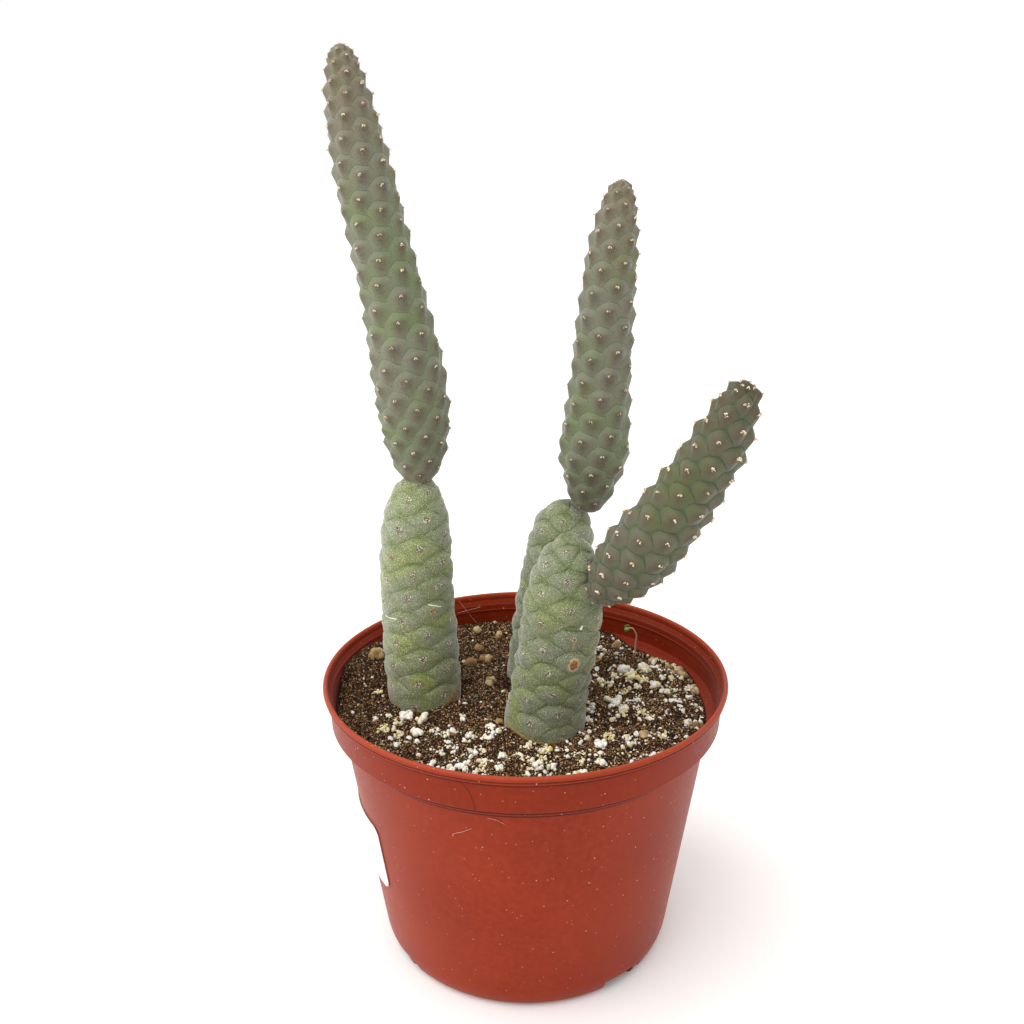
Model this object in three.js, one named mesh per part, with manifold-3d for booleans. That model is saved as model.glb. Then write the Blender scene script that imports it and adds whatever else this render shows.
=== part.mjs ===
// Potted pinecone cactus: a terracotta-coloured plastic nursery pot of gritty soil in
// which three jointed cactus plants stand, each of a lower and an upper stem segment.
// Millimetres, +Z up. The origin lies on the resting plane at the pot's axis, and the
// front of the pot faces -Y. Angles round the pot or a stem start at the front (-Y)
// and grow toward +X.

import * as THREE from "three";
import { mergeVertices } from "three/addons/utils/BufferGeometryUtils.js";
import Module from "manifold-3d";

const wasm = await Module();
wasm.setup();

// Clearance between neighbouring pieces
const GAP = 0.3;

// Pot: a six-inch nursery pot with a collar, a rolled lip and four drain slots. Its
// section is given as [radius, height] pairs, up the outside and down the inside.
const POT = {
  sides: 40,
  foot: [[0, 0], [50.5, 0], [53.9, 1.2]],
  heel: [56, 6],
  shoulder: [69.3, 94.2],
  collar: [[73.4, 95.2], [73.7, 107]],
  lip: [[75.4, 107.4], [76, 108.4], [75.3, 110], [73.8, 110], [73.2, 105.8], [72.4, 105]],
  inside: [[72.4, 96.2], [68.09, 94.8], [54.7, 6], [53.1, 2.6], [49.3, 1.4]],
  floor: 1.4,
  slotAngles: [-59, 41, 121, 221],
  slotWidth: 19,
  slotHeight: 2.6,
  slotInnerRadius: 49.8,
  slotDepth: 10.2,
  cutBelow: 1,
};

// Soil: its level, the waves of its top, and its height at the wall as [angle, height]
// pairs, with the heap at the left. Loose grains lie apart from each other and the wall
// by these multiples of their radius.
const SOIL = {
  level: 96.9,
  roughness: 0.55,
  ripple: { x: 0.21, y: 0.17, start: 1.3 },
  swell: { x: 0.09, y: -0.26, start: 2.1 },
  rings: 4,
  edge: [[-180, 97.5], [-140, 99], [-128, 101.8], [-119, 104.8], [-101, 105], [-96, 100.5], [-90, 96.9],
    [150, 96.9], [180, 97.5]],
  evenRadius: 45,
  edgeRadius: 70,
  looseGrains: 10,
  grainRadius: [1.2, 2.0],
  grainStretch: [0.85, 1.15],
  grainFlattening: [0.75, 0.95],
  grainRise: 0.2,
  grainSpacing: 1.6,
  wallSpacing: 1.4,
  placings: 2000,
  seed: 20251,
};

// Larger grains of perlite and pumice: x, y and radius
const PEBBLES = [
  [41, 27, 3.4], [49, 32, 2.6], [46, 17, 2.4], [36, 11, 2.0], [33, -4, 2.3],
  [38, -2, 1.9], [29, -11, 1.9], [36, -15, 1.9], [63, 3, 1.5], [64, 10, 2.0],
  [60, -16, 1.7], [29, -47, 1.9], [27, -37, 1.6], [-44, -14, 1.9], [-39, -16, 2.0],
  [-40, -24, 2.0], [-57, 26, 2.4], [-57, 7, 1.6], [-16, 37, 2.5], [-19, 45, 1.9],
  [-13, 15, 2.4], [-10, 58, 1.9], [-8, -39, 1.7], [8, -41, 1.6], [60, 29, 1.6],
];

// Sticker: blank paper label round the pot's left side
const LABEL = {
  fromAngle: -96,
  toAngle: -57,
  bottom: 36,
  top: 64,
  cornerRadius: 4,
  thickness: 0.3,
  columns: 12,
};

// Seedling: a thread-thin weed by the back wall
const SEEDLING = {
  stem: [[46.2, 42.6, 92], [46.3, 42.8, 99.5], [46.6, 42.9, 103.6], [45.2, 42.9, 106.6], [43.4, 42.9, 107.2]],
  stemRadius: 0.45,
  stemSteps: 7,
  stemCurve: 3,
  leafLength: 4.2,
  leafWidth: 3.4,
  leafThickness: 0.9,
  leafSides: [8, 6],
  leafPitch: -35,
  leafReach: 0.3,
  holeSides: 12,
  holeHeight: 12,
  holeSlack: 0.1,
};

// Stem segments. axis: four points at equal steps from base to tip. radii: fraction of
// the length and the radius over the tubercles. rise and turn: the climb in mm and the
// turn in degrees from one tubercle to the next, at equal steps along the length.
// first: height along the axis and angle of one tubercle near the base. hand: +1 where
// the steep rows of tubercles lean right. relief: depth of the furrows between them.
// soil: length that stands in the soil. on: the segment that it grew from.
const SEGMENTS = [
  {
    name: "left_lower_segment",
    axis: [[-38.2, 8.5, 78.1], [-39.7, 8.5, 114.2], [-40.5, 8.5, 150.5], [-38.6, 8.5, 186.6]],
    radii: [[0, 13.2], [0.165, 14.0], [0.25, 14.5], [0.36, 14.5], [0.5, 14.1], [0.65, 13.8],
      [0.75, 13.3], [0.84, 12.3], [0.895, 10.6], [0.94, 8.2], [0.97, 5.7], [1, 1.5]],
    rise: [1.29, 1.29, 1.19, 1.13, 1.33, 1.27],
    turn: [136.18, 136.14, 136.35, 136.4, 136.45],
    first: [23.0, 36.3],
    hand: 1,
    relief: 0.7,
    soil: 19.5,
    colour: 0x8a9a63,
  },
  {
    name: "left_upper_segment",
    axis: [[-38.7, 8.5, 182.5], [-42.2, 8.5, 232.8], [-51.7, 8.5, 282.4], [-59.2, 8.5, 332.2]],
    radii: [[0, 4.5], [0.043, 8.9], [0.103, 11.7], [0.175, 13.1], [0.25, 13.4], [0.42, 11.8],
      [0.55, 10.9], [0.7, 10.5], [0.8, 9.5], [0.9, 8.0], [0.96, 5.3], [1, 1.2]],
    rise: [0.67, 0.78, 1.05, 0.98, 0.91, 0.73],
    turn: [137.82, 137.7, 136.57, 136.77, 136.38],
    first: [14.0, 359.4],
    hand: 1,
    relief: 1.15,
    on: "left_lower_segment",
    colour: 0x69725a,
  },
  {
    name: "back_lower_segment",
    axis: [[5.0, 24, 78], [7.6, 24, 108.7], [11.9, 24, 139.3], [17.6, 24, 170]],
    radii: [[0, 12.8], [0.2, 13.4], [0.4, 13.6], [0.6, 13.4], [0.75, 13.0], [0.85, 12.3],
      [0.92, 10.3], [0.96, 7.5], [1, 1.8]],
    rise: [1.2, 1.2, 1.2, 1.2, 1.2, 1.1],
    turn: [-136.5, -136.5, -136.4, -136.4, -136.4],
    first: [24.0, 20],
    hand: -1,
    relief: 0.7,
    soil: 19.5,
    colour: 0x87975f,
  },
  {
    name: "middle_upper_segment",
    axis: [[23.8, 20, 166.4], [27.4, 20, 207.0], [30.2, 20, 247.6], [34.8, 20, 288.0]],
    radii: [[0, 2.5], [0.02, 5.7], [0.07, 9.0], [0.13, 11.4], [0.166, 12.9], [0.22, 13.4],
      [0.29, 12.6], [0.42, 11.5], [0.54, 10.9], [0.66, 10.3], [0.8, 9.3], [0.88, 7.9],
      [0.94, 6.2], [0.97, 4.7], [1, 1.1]],
    rise: [0.96, 0.93, 1.06, 1.12, 0.98, 0.87],
    turn: [136.88, 136.67, 136.57, 136.64, 136.64],
    first: [5.7, 17.3],
    hand: 1,
    relief: 1.15,
    on: "back_lower_segment",
    colour: 0x69725a,
  },
  {
    name: "front_lower_segment",
    axis: [[5.6, -15.5, 78.4], [8.6, -15.5, 109.5], [13.3, -15.5, 140.3], [15.7, -15.5, 171.4]],
    radii: [[0, 13.9], [0.19, 15.0], [0.29, 14.8], [0.42, 14.3], [0.55, 14.6], [0.68, 14.9],
      [0.78, 13.8], [0.87, 12.0], [0.92, 9.6], [0.96, 6.2], [1, 1.4]],
    rise: [1.16, 1.16, 0.93, 1.2, 1.34, 1.17],
    turn: [-136.59, -136.58, -136.44, -136.06, -136.03],
    first: [23.6, 334.4],
    hand: -1,
    relief: 0.7,
    soil: 19.5,
    colour: 0x8a9a63,
  },
  {
    name: "right_upper_segment",
    axis: [[22.7, -23.3, 148.3], [42.0, -31.0, 174.1], [57.7, -39.4, 201.9], [68.4, -48.4, 231.9]],
    radii: [[0, 1.5], [0.03, 4.9], [0.105, 9.5], [0.19, 12.2], [0.29, 12.9], [0.38, 12.5],
      [0.54, 11.4], [0.7, 10.3], [0.78, 9.8], [0.85, 8.2], [0.91, 6.6], [0.965, 3.8], [1, 1.0]],
    rise: [0.89, 0.89, 1.07, 1.05, 1.11, 1.17],
    turn: [-136.71, -136.74, -136.94, -136.79, -136.81],
    first: [16.3, 321.1],
    hand: -1,
    relief: 1.3,
    on: "front_lower_segment",
    colour: 0x666b57,
  },
];

// Tubercle: the rhombic cell between the two sets of tubercle rows, in fractions of the
// step along the steep rows (8 tubercles on) and along the flat rows (5 tubercles back).
// The flat top lies toward the cell's upper corner, with the areole's tuft upon it.
const STEEP_STEP = 8;
const FLAT_STEP = 5;
const STEEP_TURNS = 3;
const FLAT_TURNS = 2;
const STEEP_LINES = [-0.5, -0.2, 0.28];
const FLAT_LINES = [-0.5, -0.28, 0.2];
const AREOLE = [0.12, -0.12];
const TUFT_HEIGHT = 0.45;
const CREST_DROP = 0.3;
const CREST_LENGTH = 0.4;

// Relief sets in over these heights above the soil, and is full from this stem radius on
const SOIL_FADE = [1, 7];
const FULL_RELIEF_RADIUS = 8;

// Toward a tip or a joint the tubercles crowd together as the stem narrows, down to
// these fractions of their usual spacing
const TIP_LENGTH = 12;
const TIP_CROWDING = 0.35;
const JOINT_LENGTH = 6;
const JOINT_CROWDING = 0.4;
const SPIRAL_OVERRUN = 8;

// Axis of a stem: steps for its length, and half the step for its direction
const AXIS_STEPS = 32;
const DIRECTION_STEP = 0.002;

// Ends of a stem: its lowest ring at a joint, the ring's depth in the soil, the bare
// length before the first tubercles and at the tip, and the ring at its foot
const JOINT_RING = 0.6;
const SOIL_RING_DEPTH = 3;
const BARE_BASE = 0.4;
const BARE_TIP = 1.4;
const FOOT_RING = 0.8;

// Hole in the soil for a stem
const HOLE = { sides: 28, above: 9, footInset: 0.4 };

const DEG = Math.PI / 180;
const FRONT = new THREE.Vector3(0, -1, 0);

// A small repeatable random number source, giving values from 0 to 1
function seededRandom(seed) {
  let state = seed >>> 0;
  return () => {
    state = (state + 0x6d2b79f5) >>> 0;
    let value = Math.imul(state ^ (state >>> 15), 1 | state);
    value = (value + Math.imul(value ^ (value >>> 7), 61 | value)) ^ value;
    return ((value ^ (value >>> 14)) >>> 0) / 4294967296;
  };
}

// A random value in a range
function between([low, high], random) {
  return low + (high - low) * random();
}

function clamp(value, low, high) {
  return Math.min(high, Math.max(low, value));
}

function smoothstep(from, to, value) {
  const x = clamp((value - from) / (to - from), 0, 1);
  return x * x * (3 - 2 * x);
}

// Value at fraction f of a list given at equal steps
function sample(list, f) {
  const x = clamp(f, 0, 1) * (list.length - 1);
  const i = Math.min(Math.floor(x), list.length - 2);
  return list[i] + (list[i + 1] - list[i]) * (x - i);
}

// Smooth curve through [x, y] pairs that never overshoots them
function smoothThrough(pairs, x) {
  const last = pairs.length - 1;
  const at = clamp(x, pairs[0][0], pairs[last][0]);
  let i = 0;
  while (i < last - 1 && at > pairs[i + 1][0]) i += 1;
  const chord = (k) => (pairs[k + 1][1] - pairs[k][1]) / (pairs[k + 1][0] - pairs[k][0]);
  const slope = (k) => {
    if (k === 0) return chord(0);
    if (k === last) return chord(last - 1);
    const before = chord(k - 1);
    const after = chord(k);
    return before * after <= 0 ? 0 : (2 * before * after) / (before + after);
  };
  const width = pairs[i + 1][0] - pairs[i][0];
  const t = (at - pairs[i][0]) / width;
  const rise = (1 - t) * (1 - t) * (pairs[i][1] * (1 + 2 * t) + width * slope(i) * t);
  return rise + t * t * (pairs[i + 1][1] * (3 - 2 * t) + width * slope(i + 1) * (t - 1));
}

// Closed geometry from points and triangles
function solidGeometry(points, triangles) {
  const geometry = new THREE.BufferGeometry();
  geometry.setAttribute("position", new THREE.Float32BufferAttribute(points.flat(), 3));
  geometry.setIndex(triangles.flat());
  return geometry;
}

// A geometry as a solid that can be cut and joined
function toSolid(geometry) {
  const bare = geometry.clone();
  bare.deleteAttribute("normal");
  bare.deleteAttribute("uv");
  const merged = mergeVertices(bare, 1e-4);
  return new wasm.Manifold(new wasm.Mesh({
    numProp: 3,
    vertProperties: new Float32Array(merged.attributes.position.array),
    triVerts: new Uint32Array(merged.index.array),
  }));
}

// The geometry of a solid after its cuts and joins
function toGeometry(solid) {
  const mesh = solid.getMesh();
  const geometry = new THREE.BufferGeometry();
  geometry.setAttribute("position", new THREE.BufferAttribute(mesh.vertProperties, 3));
  geometry.setIndex(new THREE.BufferAttribute(mesh.triVerts, 1));
  return geometry;
}

// A lathe about Z from [radius, height] pairs, its edges on the X and Y axes
function latheZ(profile, sides) {
  const geometry = new THREE.LatheGeometry(profile.map(([r, z]) => new THREE.Vector2(r, z)), sides);
  geometry.rotateX(90 * DEG);
  return geometry;
}

// Rings of equally many points, joined into a closed tube with a flat end at each ring
function loft(rings) {
  const count = rings[0].length;
  const points = rings.flat();
  const triangles = [];
  for (let r = 0; r + 1 < rings.length; r += 1) {
    for (let k = 0; k < count; k += 1) {
      const a = r * count + k;
      const b = r * count + ((k + 1) % count);
      triangles.push([a, b, b + count], [a, b + count, a + count]);
    }
  }
  const centre = (ring) => [0, 1, 2].map((axis) => ring.reduce((sum, p) => sum + p[axis], 0) / count);
  const bottom = points.push(centre(rings[0])) - 1;
  const top = points.push(centre(rings[rings.length - 1])) - 1;
  const lastRing = (rings.length - 1) * count;
  for (let k = 0; k < count; k += 1) {
    const next = (k + 1) % count;
    triangles.push([bottom, next, k], [top, lastRing + k, lastRing + next]);
  }
  return solidGeometry(points, triangles);
}

// Outer radius of the pot's wall below the collar
function wallRadius(z) {
  const [heelRadius, heelHeight] = POT.heel;
  const [radius, height] = POT.shoulder;
  return heelRadius + ((z - heelHeight) * (radius - heelRadius)) / (height - heelHeight);
}

// Inner side of the pot from the ledge down to the floor, moved inward by an inset
function innerWall(inset) {
  return POT.inside.map(([radius, height]) => [radius - inset, height + inset]);
}

function pot() {
  const outside = [...POT.foot, POT.heel, POT.shoulder, ...POT.collar, ...POT.lip];
  let solid = toSolid(latheZ([...outside, ...innerWall(0), [0, POT.floor]], POT.sides));
  for (const angle of POT.slotAngles) {
    const slot = new THREE.BoxGeometry(POT.slotWidth, POT.slotDepth, POT.slotHeight + POT.cutBelow);
    slot.translate(0, -POT.slotInnerRadius - POT.slotDepth / 2, (POT.slotHeight - POT.cutBelow) / 2);
    slot.rotateZ(angle * DEG);
    solid = solid.subtract(toSolid(slot));
  }
  return toGeometry(solid);
}

// Height of the bare soil at a place in the pot
function soilHeight(x, y) {
  const { ripple, swell } = SOIL;
  const waves = Math.sin(x * ripple.x + ripple.start) * Math.cos(y * ripple.y)
    + Math.sin(x * swell.x + y * swell.y + swell.start);
  const toWall = smoothstep(SOIL.evenRadius, SOIL.edgeRadius, Math.hypot(x, y));
  const edge = smoothThrough(SOIL.edge, Math.atan2(x, -y) / DEG) - SOIL.level;
  return SOIL.level + SOIL.roughness * waves * (1 - toWall) + edge * toWall;
}

// The soil without its holes and grains
function soilBody() {
  const sides = POT.sides;
  const side = innerWall(GAP);
  const [[rim]] = side;
  const ring = (radius, height) => Array.from({ length: sides }, (_, k) => {
    const x = radius * Math.sin((k / sides) * 360 * DEG);
    const y = -radius * Math.cos((k / sides) * 360 * DEG);
    return [x, y, height === undefined ? soilHeight(x, y) : height];
  });
  const rings = side.slice().reverse().map(([radius, height]) => ring(radius, height));
  for (let k = SOIL.rings; k > 0; k -= 1) {
    rings.push(ring((rim * k) / SOIL.rings));
  }
  return loft(rings);
}

// One angular grain, squashed and turned at random, sunk into the soil's top
function grain({ x, y, radius, loose }, random) {
  const geometry = loose ? new THREE.OctahedronGeometry(radius) : new THREE.IcosahedronGeometry(radius);
  geometry.rotateX(random() * 360 * DEG);
  geometry.rotateY(random() * 360 * DEG);
  const ranges = [SOIL.grainStretch, SOIL.grainStretch, SOIL.grainFlattening];
  geometry.scale(...ranges.map((range) => between(range, random)));
  geometry.translate(x, y, soilHeight(x, y) + radius * SOIL.grainRise);
  return geometry;
}

// Soil with its perlite and pumice grains, and a plain hole for each stem
function soil(sleeves) {
  const random = seededRandom(SOIL.seed);
  const [[limit]] = innerWall(GAP);
  const places = PEBBLES.map(([x, y, radius]) => ({ x, y, radius }));
  let tries = 0;
  while (places.length < PEBBLES.length + SOIL.looseGrains && tries < SOIL.placings) {
    tries += 1;
    const reach = limit * Math.sqrt(random());
    const angle = random() * 360 * DEG;
    const radius = between(SOIL.grainRadius, random);
    const place = { x: reach * Math.sin(angle), y: -reach * Math.cos(angle), radius, loose: true };
    const free = places.every((other) => {
      const apart = Math.hypot(other.x - place.x, other.y - place.y);
      return apart > (other.radius + radius) * SOIL.grainSpacing;
    });
    if (free && reach + radius * SOIL.wallSpacing < limit) places.push(place);
  }
  let solid = toSolid(soilBody());
  for (const place of places) {
    solid = solid.add(toSolid(grain(place, random)));
  }
  for (const sleeve of sleeves) {
    solid = solid.subtract(toSolid(sleeve));
  }
  return toGeometry(largestBody(solid));
}

// The biggest of the bodies that a cut leaves
function largestBody(solid) {
  return solid.decompose().reduce((best, body) => (body.volume() > best.volume() ? body : best));
}

// Blank sticker bent round the pot's wall
function label() {
  const columns = [];
  const span = LABEL.toAngle - LABEL.fromAngle;
  const middle = wallRadius((LABEL.bottom + LABEL.top) / 2) * DEG;
  for (let k = 0; k <= LABEL.columns; k += 1) {
    const across = 0.5 - 0.5 * Math.cos((k / LABEL.columns) * Math.PI);
    const toEnd = Math.min(across, 1 - across) * span * middle;
    const inCorner = Math.max(0, LABEL.cornerRadius - toEnd);
    const trim = LABEL.cornerRadius - Math.sqrt(LABEL.cornerRadius ** 2 - inCorner ** 2);
    const angle = (LABEL.fromAngle + span * across) * DEG;
    const point = (z, lift) => {
      const radius = wallRadius(z) + lift;
      return [radius * Math.sin(angle), -radius * Math.cos(angle), z];
    };
    const low = LABEL.bottom + trim;
    const high = LABEL.top - trim;
    const outer = GAP + LABEL.thickness;
    columns.push([point(low, GAP), point(high, GAP), point(high, outer), point(low, outer)]);
  }
  return loft(columns);
}

// Weed seedling: a bent thread of a stem with one leaf
function seedling() {
  const curve = new THREE.CatmullRomCurve3(SEEDLING.stem.map((p) => new THREE.Vector3(...p)));
  const section = new THREE.Shape();
  section.absarc(0, 0, SEEDLING.stemRadius, 0, 360 * DEG);
  const sweep = { steps: SEEDLING.stemSteps, curveSegments: SEEDLING.stemCurve, extrudePath: curve };
  const stem = new THREE.ExtrudeGeometry(section, sweep);
  const leaf = new THREE.SphereGeometry(0.5, ...SEEDLING.leafSides);
  leaf.scale(SEEDLING.leafLength, SEEDLING.leafThickness, SEEDLING.leafWidth);
  leaf.rotateX(SEEDLING.leafPitch * DEG);
  leaf.translate(...SEEDLING.stem.at(-1));
  leaf.translate(-SEEDLING.leafLength * SEEDLING.leafReach, 0, 0);
  return toGeometry(toSolid(stem).add(toSolid(leaf)));
}

// Plain hole for the seedling's stem
function seedlingSleeve() {
  const [x, y, z] = SEEDLING.stem[0];
  const radius = SEEDLING.stemRadius + GAP + SEEDLING.holeSlack;
  const top = z + SEEDLING.holeHeight;
  const sleeve = latheZ([[0, z - GAP], [radius, z - GAP], [radius, top], [0, top]], SEEDLING.holeSides);
  sleeve.translate(x, y, 0);
  return sleeve;
}

// A stem segment's axis, width and rows of tubercles
class Segment {
  constructor(spec) {
    Object.assign(this, spec);
    this.length = 0;
    for (let k = 0; k < AXIS_STEPS; k += 1) {
      this.length += this.centre(k / AXIS_STEPS).distanceTo(this.centre((k + 1) / AXIS_STEPS));
    }
    this.growTubercles();
  }

  // Point on the axis at fraction f of its length: the cubic through the four points
  centre(f) {
    const x = f * 3;
    const weights = [
      -((x - 1) * (x - 2) * (x - 3)) / 6,
      (x * (x - 2) * (x - 3)) / 2,
      -(x * (x - 1) * (x - 3)) / 2,
      (x * (x - 1) * (x - 2)) / 6,
    ];
    const point = new THREE.Vector3();
    this.axis.forEach((p, k) => point.addScaledVector(new THREE.Vector3(...p), weights[k]));
    return point;
  }

  radiusAt(s) {
    return smoothThrough(this.radii, s / this.length);
  }

  // Point at distance s along the axis, turned by an angle, at a distance from the axis
  point(s, angle, radius) {
    const f = s / this.length;
    const along = this.centre(f + DIRECTION_STEP).sub(this.centre(f - DIRECTION_STEP)).normalize();
    const front = FRONT.clone().addScaledVector(along, -FRONT.dot(along)).normalize();
    const side = new THREE.Vector3().crossVectors(along, front);
    return this.centre(f)
      .addScaledVector(front, radius * Math.cos(angle * DEG))
      .addScaledVector(side, radius * Math.sin(angle * DEG))
      .toArray();
  }

  // Share of the usual spacing that the tubercles keep at distance s
  crowding(s) {
    const tip = this.length - TIP_LENGTH;
    if (s > tip) return Math.max(TIP_CROWDING, this.radiusAt(s) / this.radiusAt(tip));
    if (this.soil || s > JOINT_LENGTH) return 1;
    return Math.max(JOINT_CROWDING, this.radiusAt(s) / this.radiusAt(JOINT_LENGTH));
  }

  // Heights and running angles of the tubercles on the one spiral that joins them all
  growTubercles() {
    const start = { s: this.first[0], angle: this.first[1] };
    const step = (s) => [
      sample(this.rise, s / this.length) * this.crowding(s),
      sample(this.turn, s / this.length),
    ];
    this.tubercles = [start];
    while (this.tubercles[0].s > -SPIRAL_OVERRUN) {
      const [rise, turn] = step(this.tubercles[0].s);
      this.tubercles.unshift({ s: this.tubercles[0].s - rise, angle: this.tubercles[0].angle - turn });
    }
    while (this.tubercles.at(-1).s < this.length + SPIRAL_OVERRUN) {
      const [rise, turn] = step(this.tubercles.at(-1).s);
      this.tubercles.push({ s: this.tubercles.at(-1).s + rise, angle: this.tubercles.at(-1).angle + turn });
    }
  }

  // Place on the surface, by tubercle number and fractions along the two sets of rows
  place(number, steep, flat) {
    const x = number + STEEP_STEP * steep - FLAT_STEP * flat;
    const i = clamp(Math.floor(x), 0, this.tubercles.length - 2);
    const low = this.tubercles[i];
    const high = this.tubercles[i + 1];
    const wound = low.angle + (high.angle - low.angle) * (x - i);
    return {
      s: low.s + (high.s - low.s) * (x - i),
      angle: wound + this.hand * 360 * (FLAT_TURNS * flat - STEEP_TURNS * steep),
    };
  }

  // How far the tubercles stand out at distance s: not at all in the soil or at the ends
  reliefAt(s) {
    const [from, to] = SOIL_FADE;
    const aboveSoil = this.soil ? smoothstep(this.soil + from, this.soil + to, s) : 1;
    return this.relief * aboveSoil * clamp(this.radiusAt(s) / FULL_RELIEF_RADIUS, 0, 1);
  }

  // Distance from the axis of one of a tubercle's corners
  surface(s, steep, flat) {
    const onFurrow = steep === -0.5 || flat === -0.5;
    const height = onFurrow ? 0 : 1 - CREST_DROP * (1 - (steep - flat + CREST_LENGTH));
    return this.radiusAt(s) - this.reliefAt(s) * (1 - clamp(height, 0, 1));
  }

  // The whole segment as a closed body, thickened all round by grow
  body(grow = 0) {
    const points = [];
    const places = [];
    const index = new Map();
    const baseRing = this.soil ? this.soil - SOIL_RING_DEPTH : JOINT_RING;
    const lowest = baseRing + BARE_BASE;
    const highest = this.length - BARE_TIP;
    const add = (s, angle, radius) => {
      places.push({ s, angle });
      return points.push(this.point(s, angle, radius + grow)) - 1;
    };
    const vertex = (number, i, j) => {
      const owner = number + (i === 3 ? STEEP_STEP : 0) - (j === 3 ? FLAT_STEP : 0);
      const key = `${owner} ${i % 3} ${j % 3}`;
      if (!index.has(key)) {
        const steep = STEEP_LINES[i % 3];
        const flat = FLAT_LINES[j % 3];
        const { s, angle } = this.place(owner, steep, flat);
        const inside = s > lowest && s < highest;
        index.set(key, inside ? add(s, angle, this.surface(s, steep, flat)) : -1);
      }
      return index.get(key);
    };
    const triangles = [];
    const face = (...ring) => {
      for (let k = 1; k + 1 < ring.length; k += 1) {
        const [left, right] = this.hand > 0 ? [k, k + 1] : [k + 1, k];
        triangles.push([ring[0], ring[left], ring[right]]);
      }
    };
    for (let number = 0; number < this.tubercles.length; number += 1) {
      for (let i = 0; i < 3; i += 1) {
        for (let j = 0; j < 3; j += 1) {
          const corners = [vertex(number, i, j), vertex(number, i, j + 1),
            vertex(number, i + 1, j + 1), vertex(number, i + 1, j)];
          if (corners.includes(-1)) continue;
          if (i === 1 && j === 1) {
            const { s, angle } = this.place(number, ...AREOLE);
            const tuft = (TUFT_HEIGHT * this.reliefAt(s)) / this.relief;
            const areole = add(s, angle, this.radiusAt(s) + tuft);
            corners.forEach((corner, k) => face(corner, corners[(k + 1) % 4], areole));
          } else {
            face(...corners);
          }
        }
      }
    }
    this.closeEnds(points, places, triangles, baseRing, add, grow);
    return solidGeometry(points, triangles);
  }

  // Close the ragged lower edge with plain rings, and the upper edge to the tip
  closeEnds(points, places, triangles, baseRing, add, grow) {
    const next = new Map();
    const edges = new Set(triangles.flatMap(([a, b, c]) => [`${a} ${b}`, `${b} ${c}`, `${c} ${a}`]));
    for (const edge of edges) {
      const [a, b] = edge.split(" ").map(Number);
      if (!edges.has(`${b} ${a}`)) next.set(a, b);
    }
    while (next.size) {
      const loop = [next.keys().next().value];
      while (next.get(loop.at(-1)) !== loop[0]) loop.push(next.get(loop.at(-1)));
      loop.forEach((k) => next.delete(k));
      const atBase = places[loop[0]].s < this.length / 2;
      const strip = (from, s) => {
        const to = from.map((k) => add(s, places[k].angle, this.radiusAt(s)));
        from.forEach((a, k) => {
          const n = (k + 1) % from.length;
          triangles.push([from[n], a, to[k]], [from[n], to[k], to[n]]);
        });
        return to;
      };
      let edge = loop;
      if (atBase) {
        edge = strip(edge, baseRing);
        if (this.soil) edge = strip(edge, FOOT_RING);
      }
      const end = add(atBase ? -grow : this.length + grow, 0, -grow);
      edge.forEach((a, k) => triangles.push([edge[(k + 1) % edge.length], a, end]));
    }
  }

  // A plain tube round the part that stands in the soil
  sleeve() {
    const { sides, above, footInset } = HOLE;
    const heights = [-GAP, FOOT_RING - GAP, this.soil / 2, this.soil, this.soil + above];
    const rings = heights.map((s, k) => {
      const outer = (this.radiusAt(Math.max(s, FOOT_RING)) + GAP) / Math.cos((180 / sides) * DEG);
      const radius = k ? outer : outer - footInset;
      return Array.from({ length: sides }, (_, n) => this.point(s, (n * 360) / sides, radius));
    });
    return loft(rings);
  }
}

function material(colour, roughness) {
  return new THREE.MeshStandardMaterial({ color: colour, roughness, metalness: 0 });
}

function namedMesh(name, geometry, finish) {
  const mesh = new THREE.Mesh(geometry, finish);
  mesh.name = name;
  return mesh;
}

// Put the whole plant together
const segments = SEGMENTS.map((spec) => new Segment(spec));
const inSoil = segments.filter((segment) => segment.soil);
const cactus = new THREE.Group();

cactus.add(namedMesh("pot", pot(), material(0xa0452f, 0.55)));
cactus.add(namedMesh("soil", soil([...inSoil.map((segment) => segment.sleeve()), seedlingSleeve()]),
  material(0x4a382c, 0.95)));
for (const segment of segments) {
  let geometry = segment.body();
  if (segment.on) {
    const below = segments.find((other) => other.name === segment.on);
    const cut = toSolid(geometry).subtract(toSolid(below.body(GAP)));
    geometry = toGeometry(largestBody(cut));
  }
  cactus.add(namedMesh(segment.name, geometry, material(segment.colour, 0.7)));
}
cactus.add(namedMesh("label", label(), material(0xeceae4, 0.6)));
cactus.add(namedMesh("seedling", seedling(), material(0x8fa05a, 0.7)));

export default cactus;
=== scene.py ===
"""Looks of a potted pinecone cactus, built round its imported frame.

Everything is in metres in the frame's own place: +Z up, the origin on the resting plane
at the pot's axis, the front of the pot at -Y. Sizes are written in millimetres and made
metres when a mesh is made. Angles round the pot or a stem start at the front and grow
toward +X, in degrees.
"""

import logging
import math
from collections.abc import Iterable, Mapping, Sequence
from dataclasses import dataclass, field, fields, replace
from enum import Enum

import bpy
import numpy as np
from bpy.types import bpy_prop_collection, Material, Modifier, Node, NodeSocket, NodeTree, Object
from mathutils import Matrix, Vector


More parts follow.
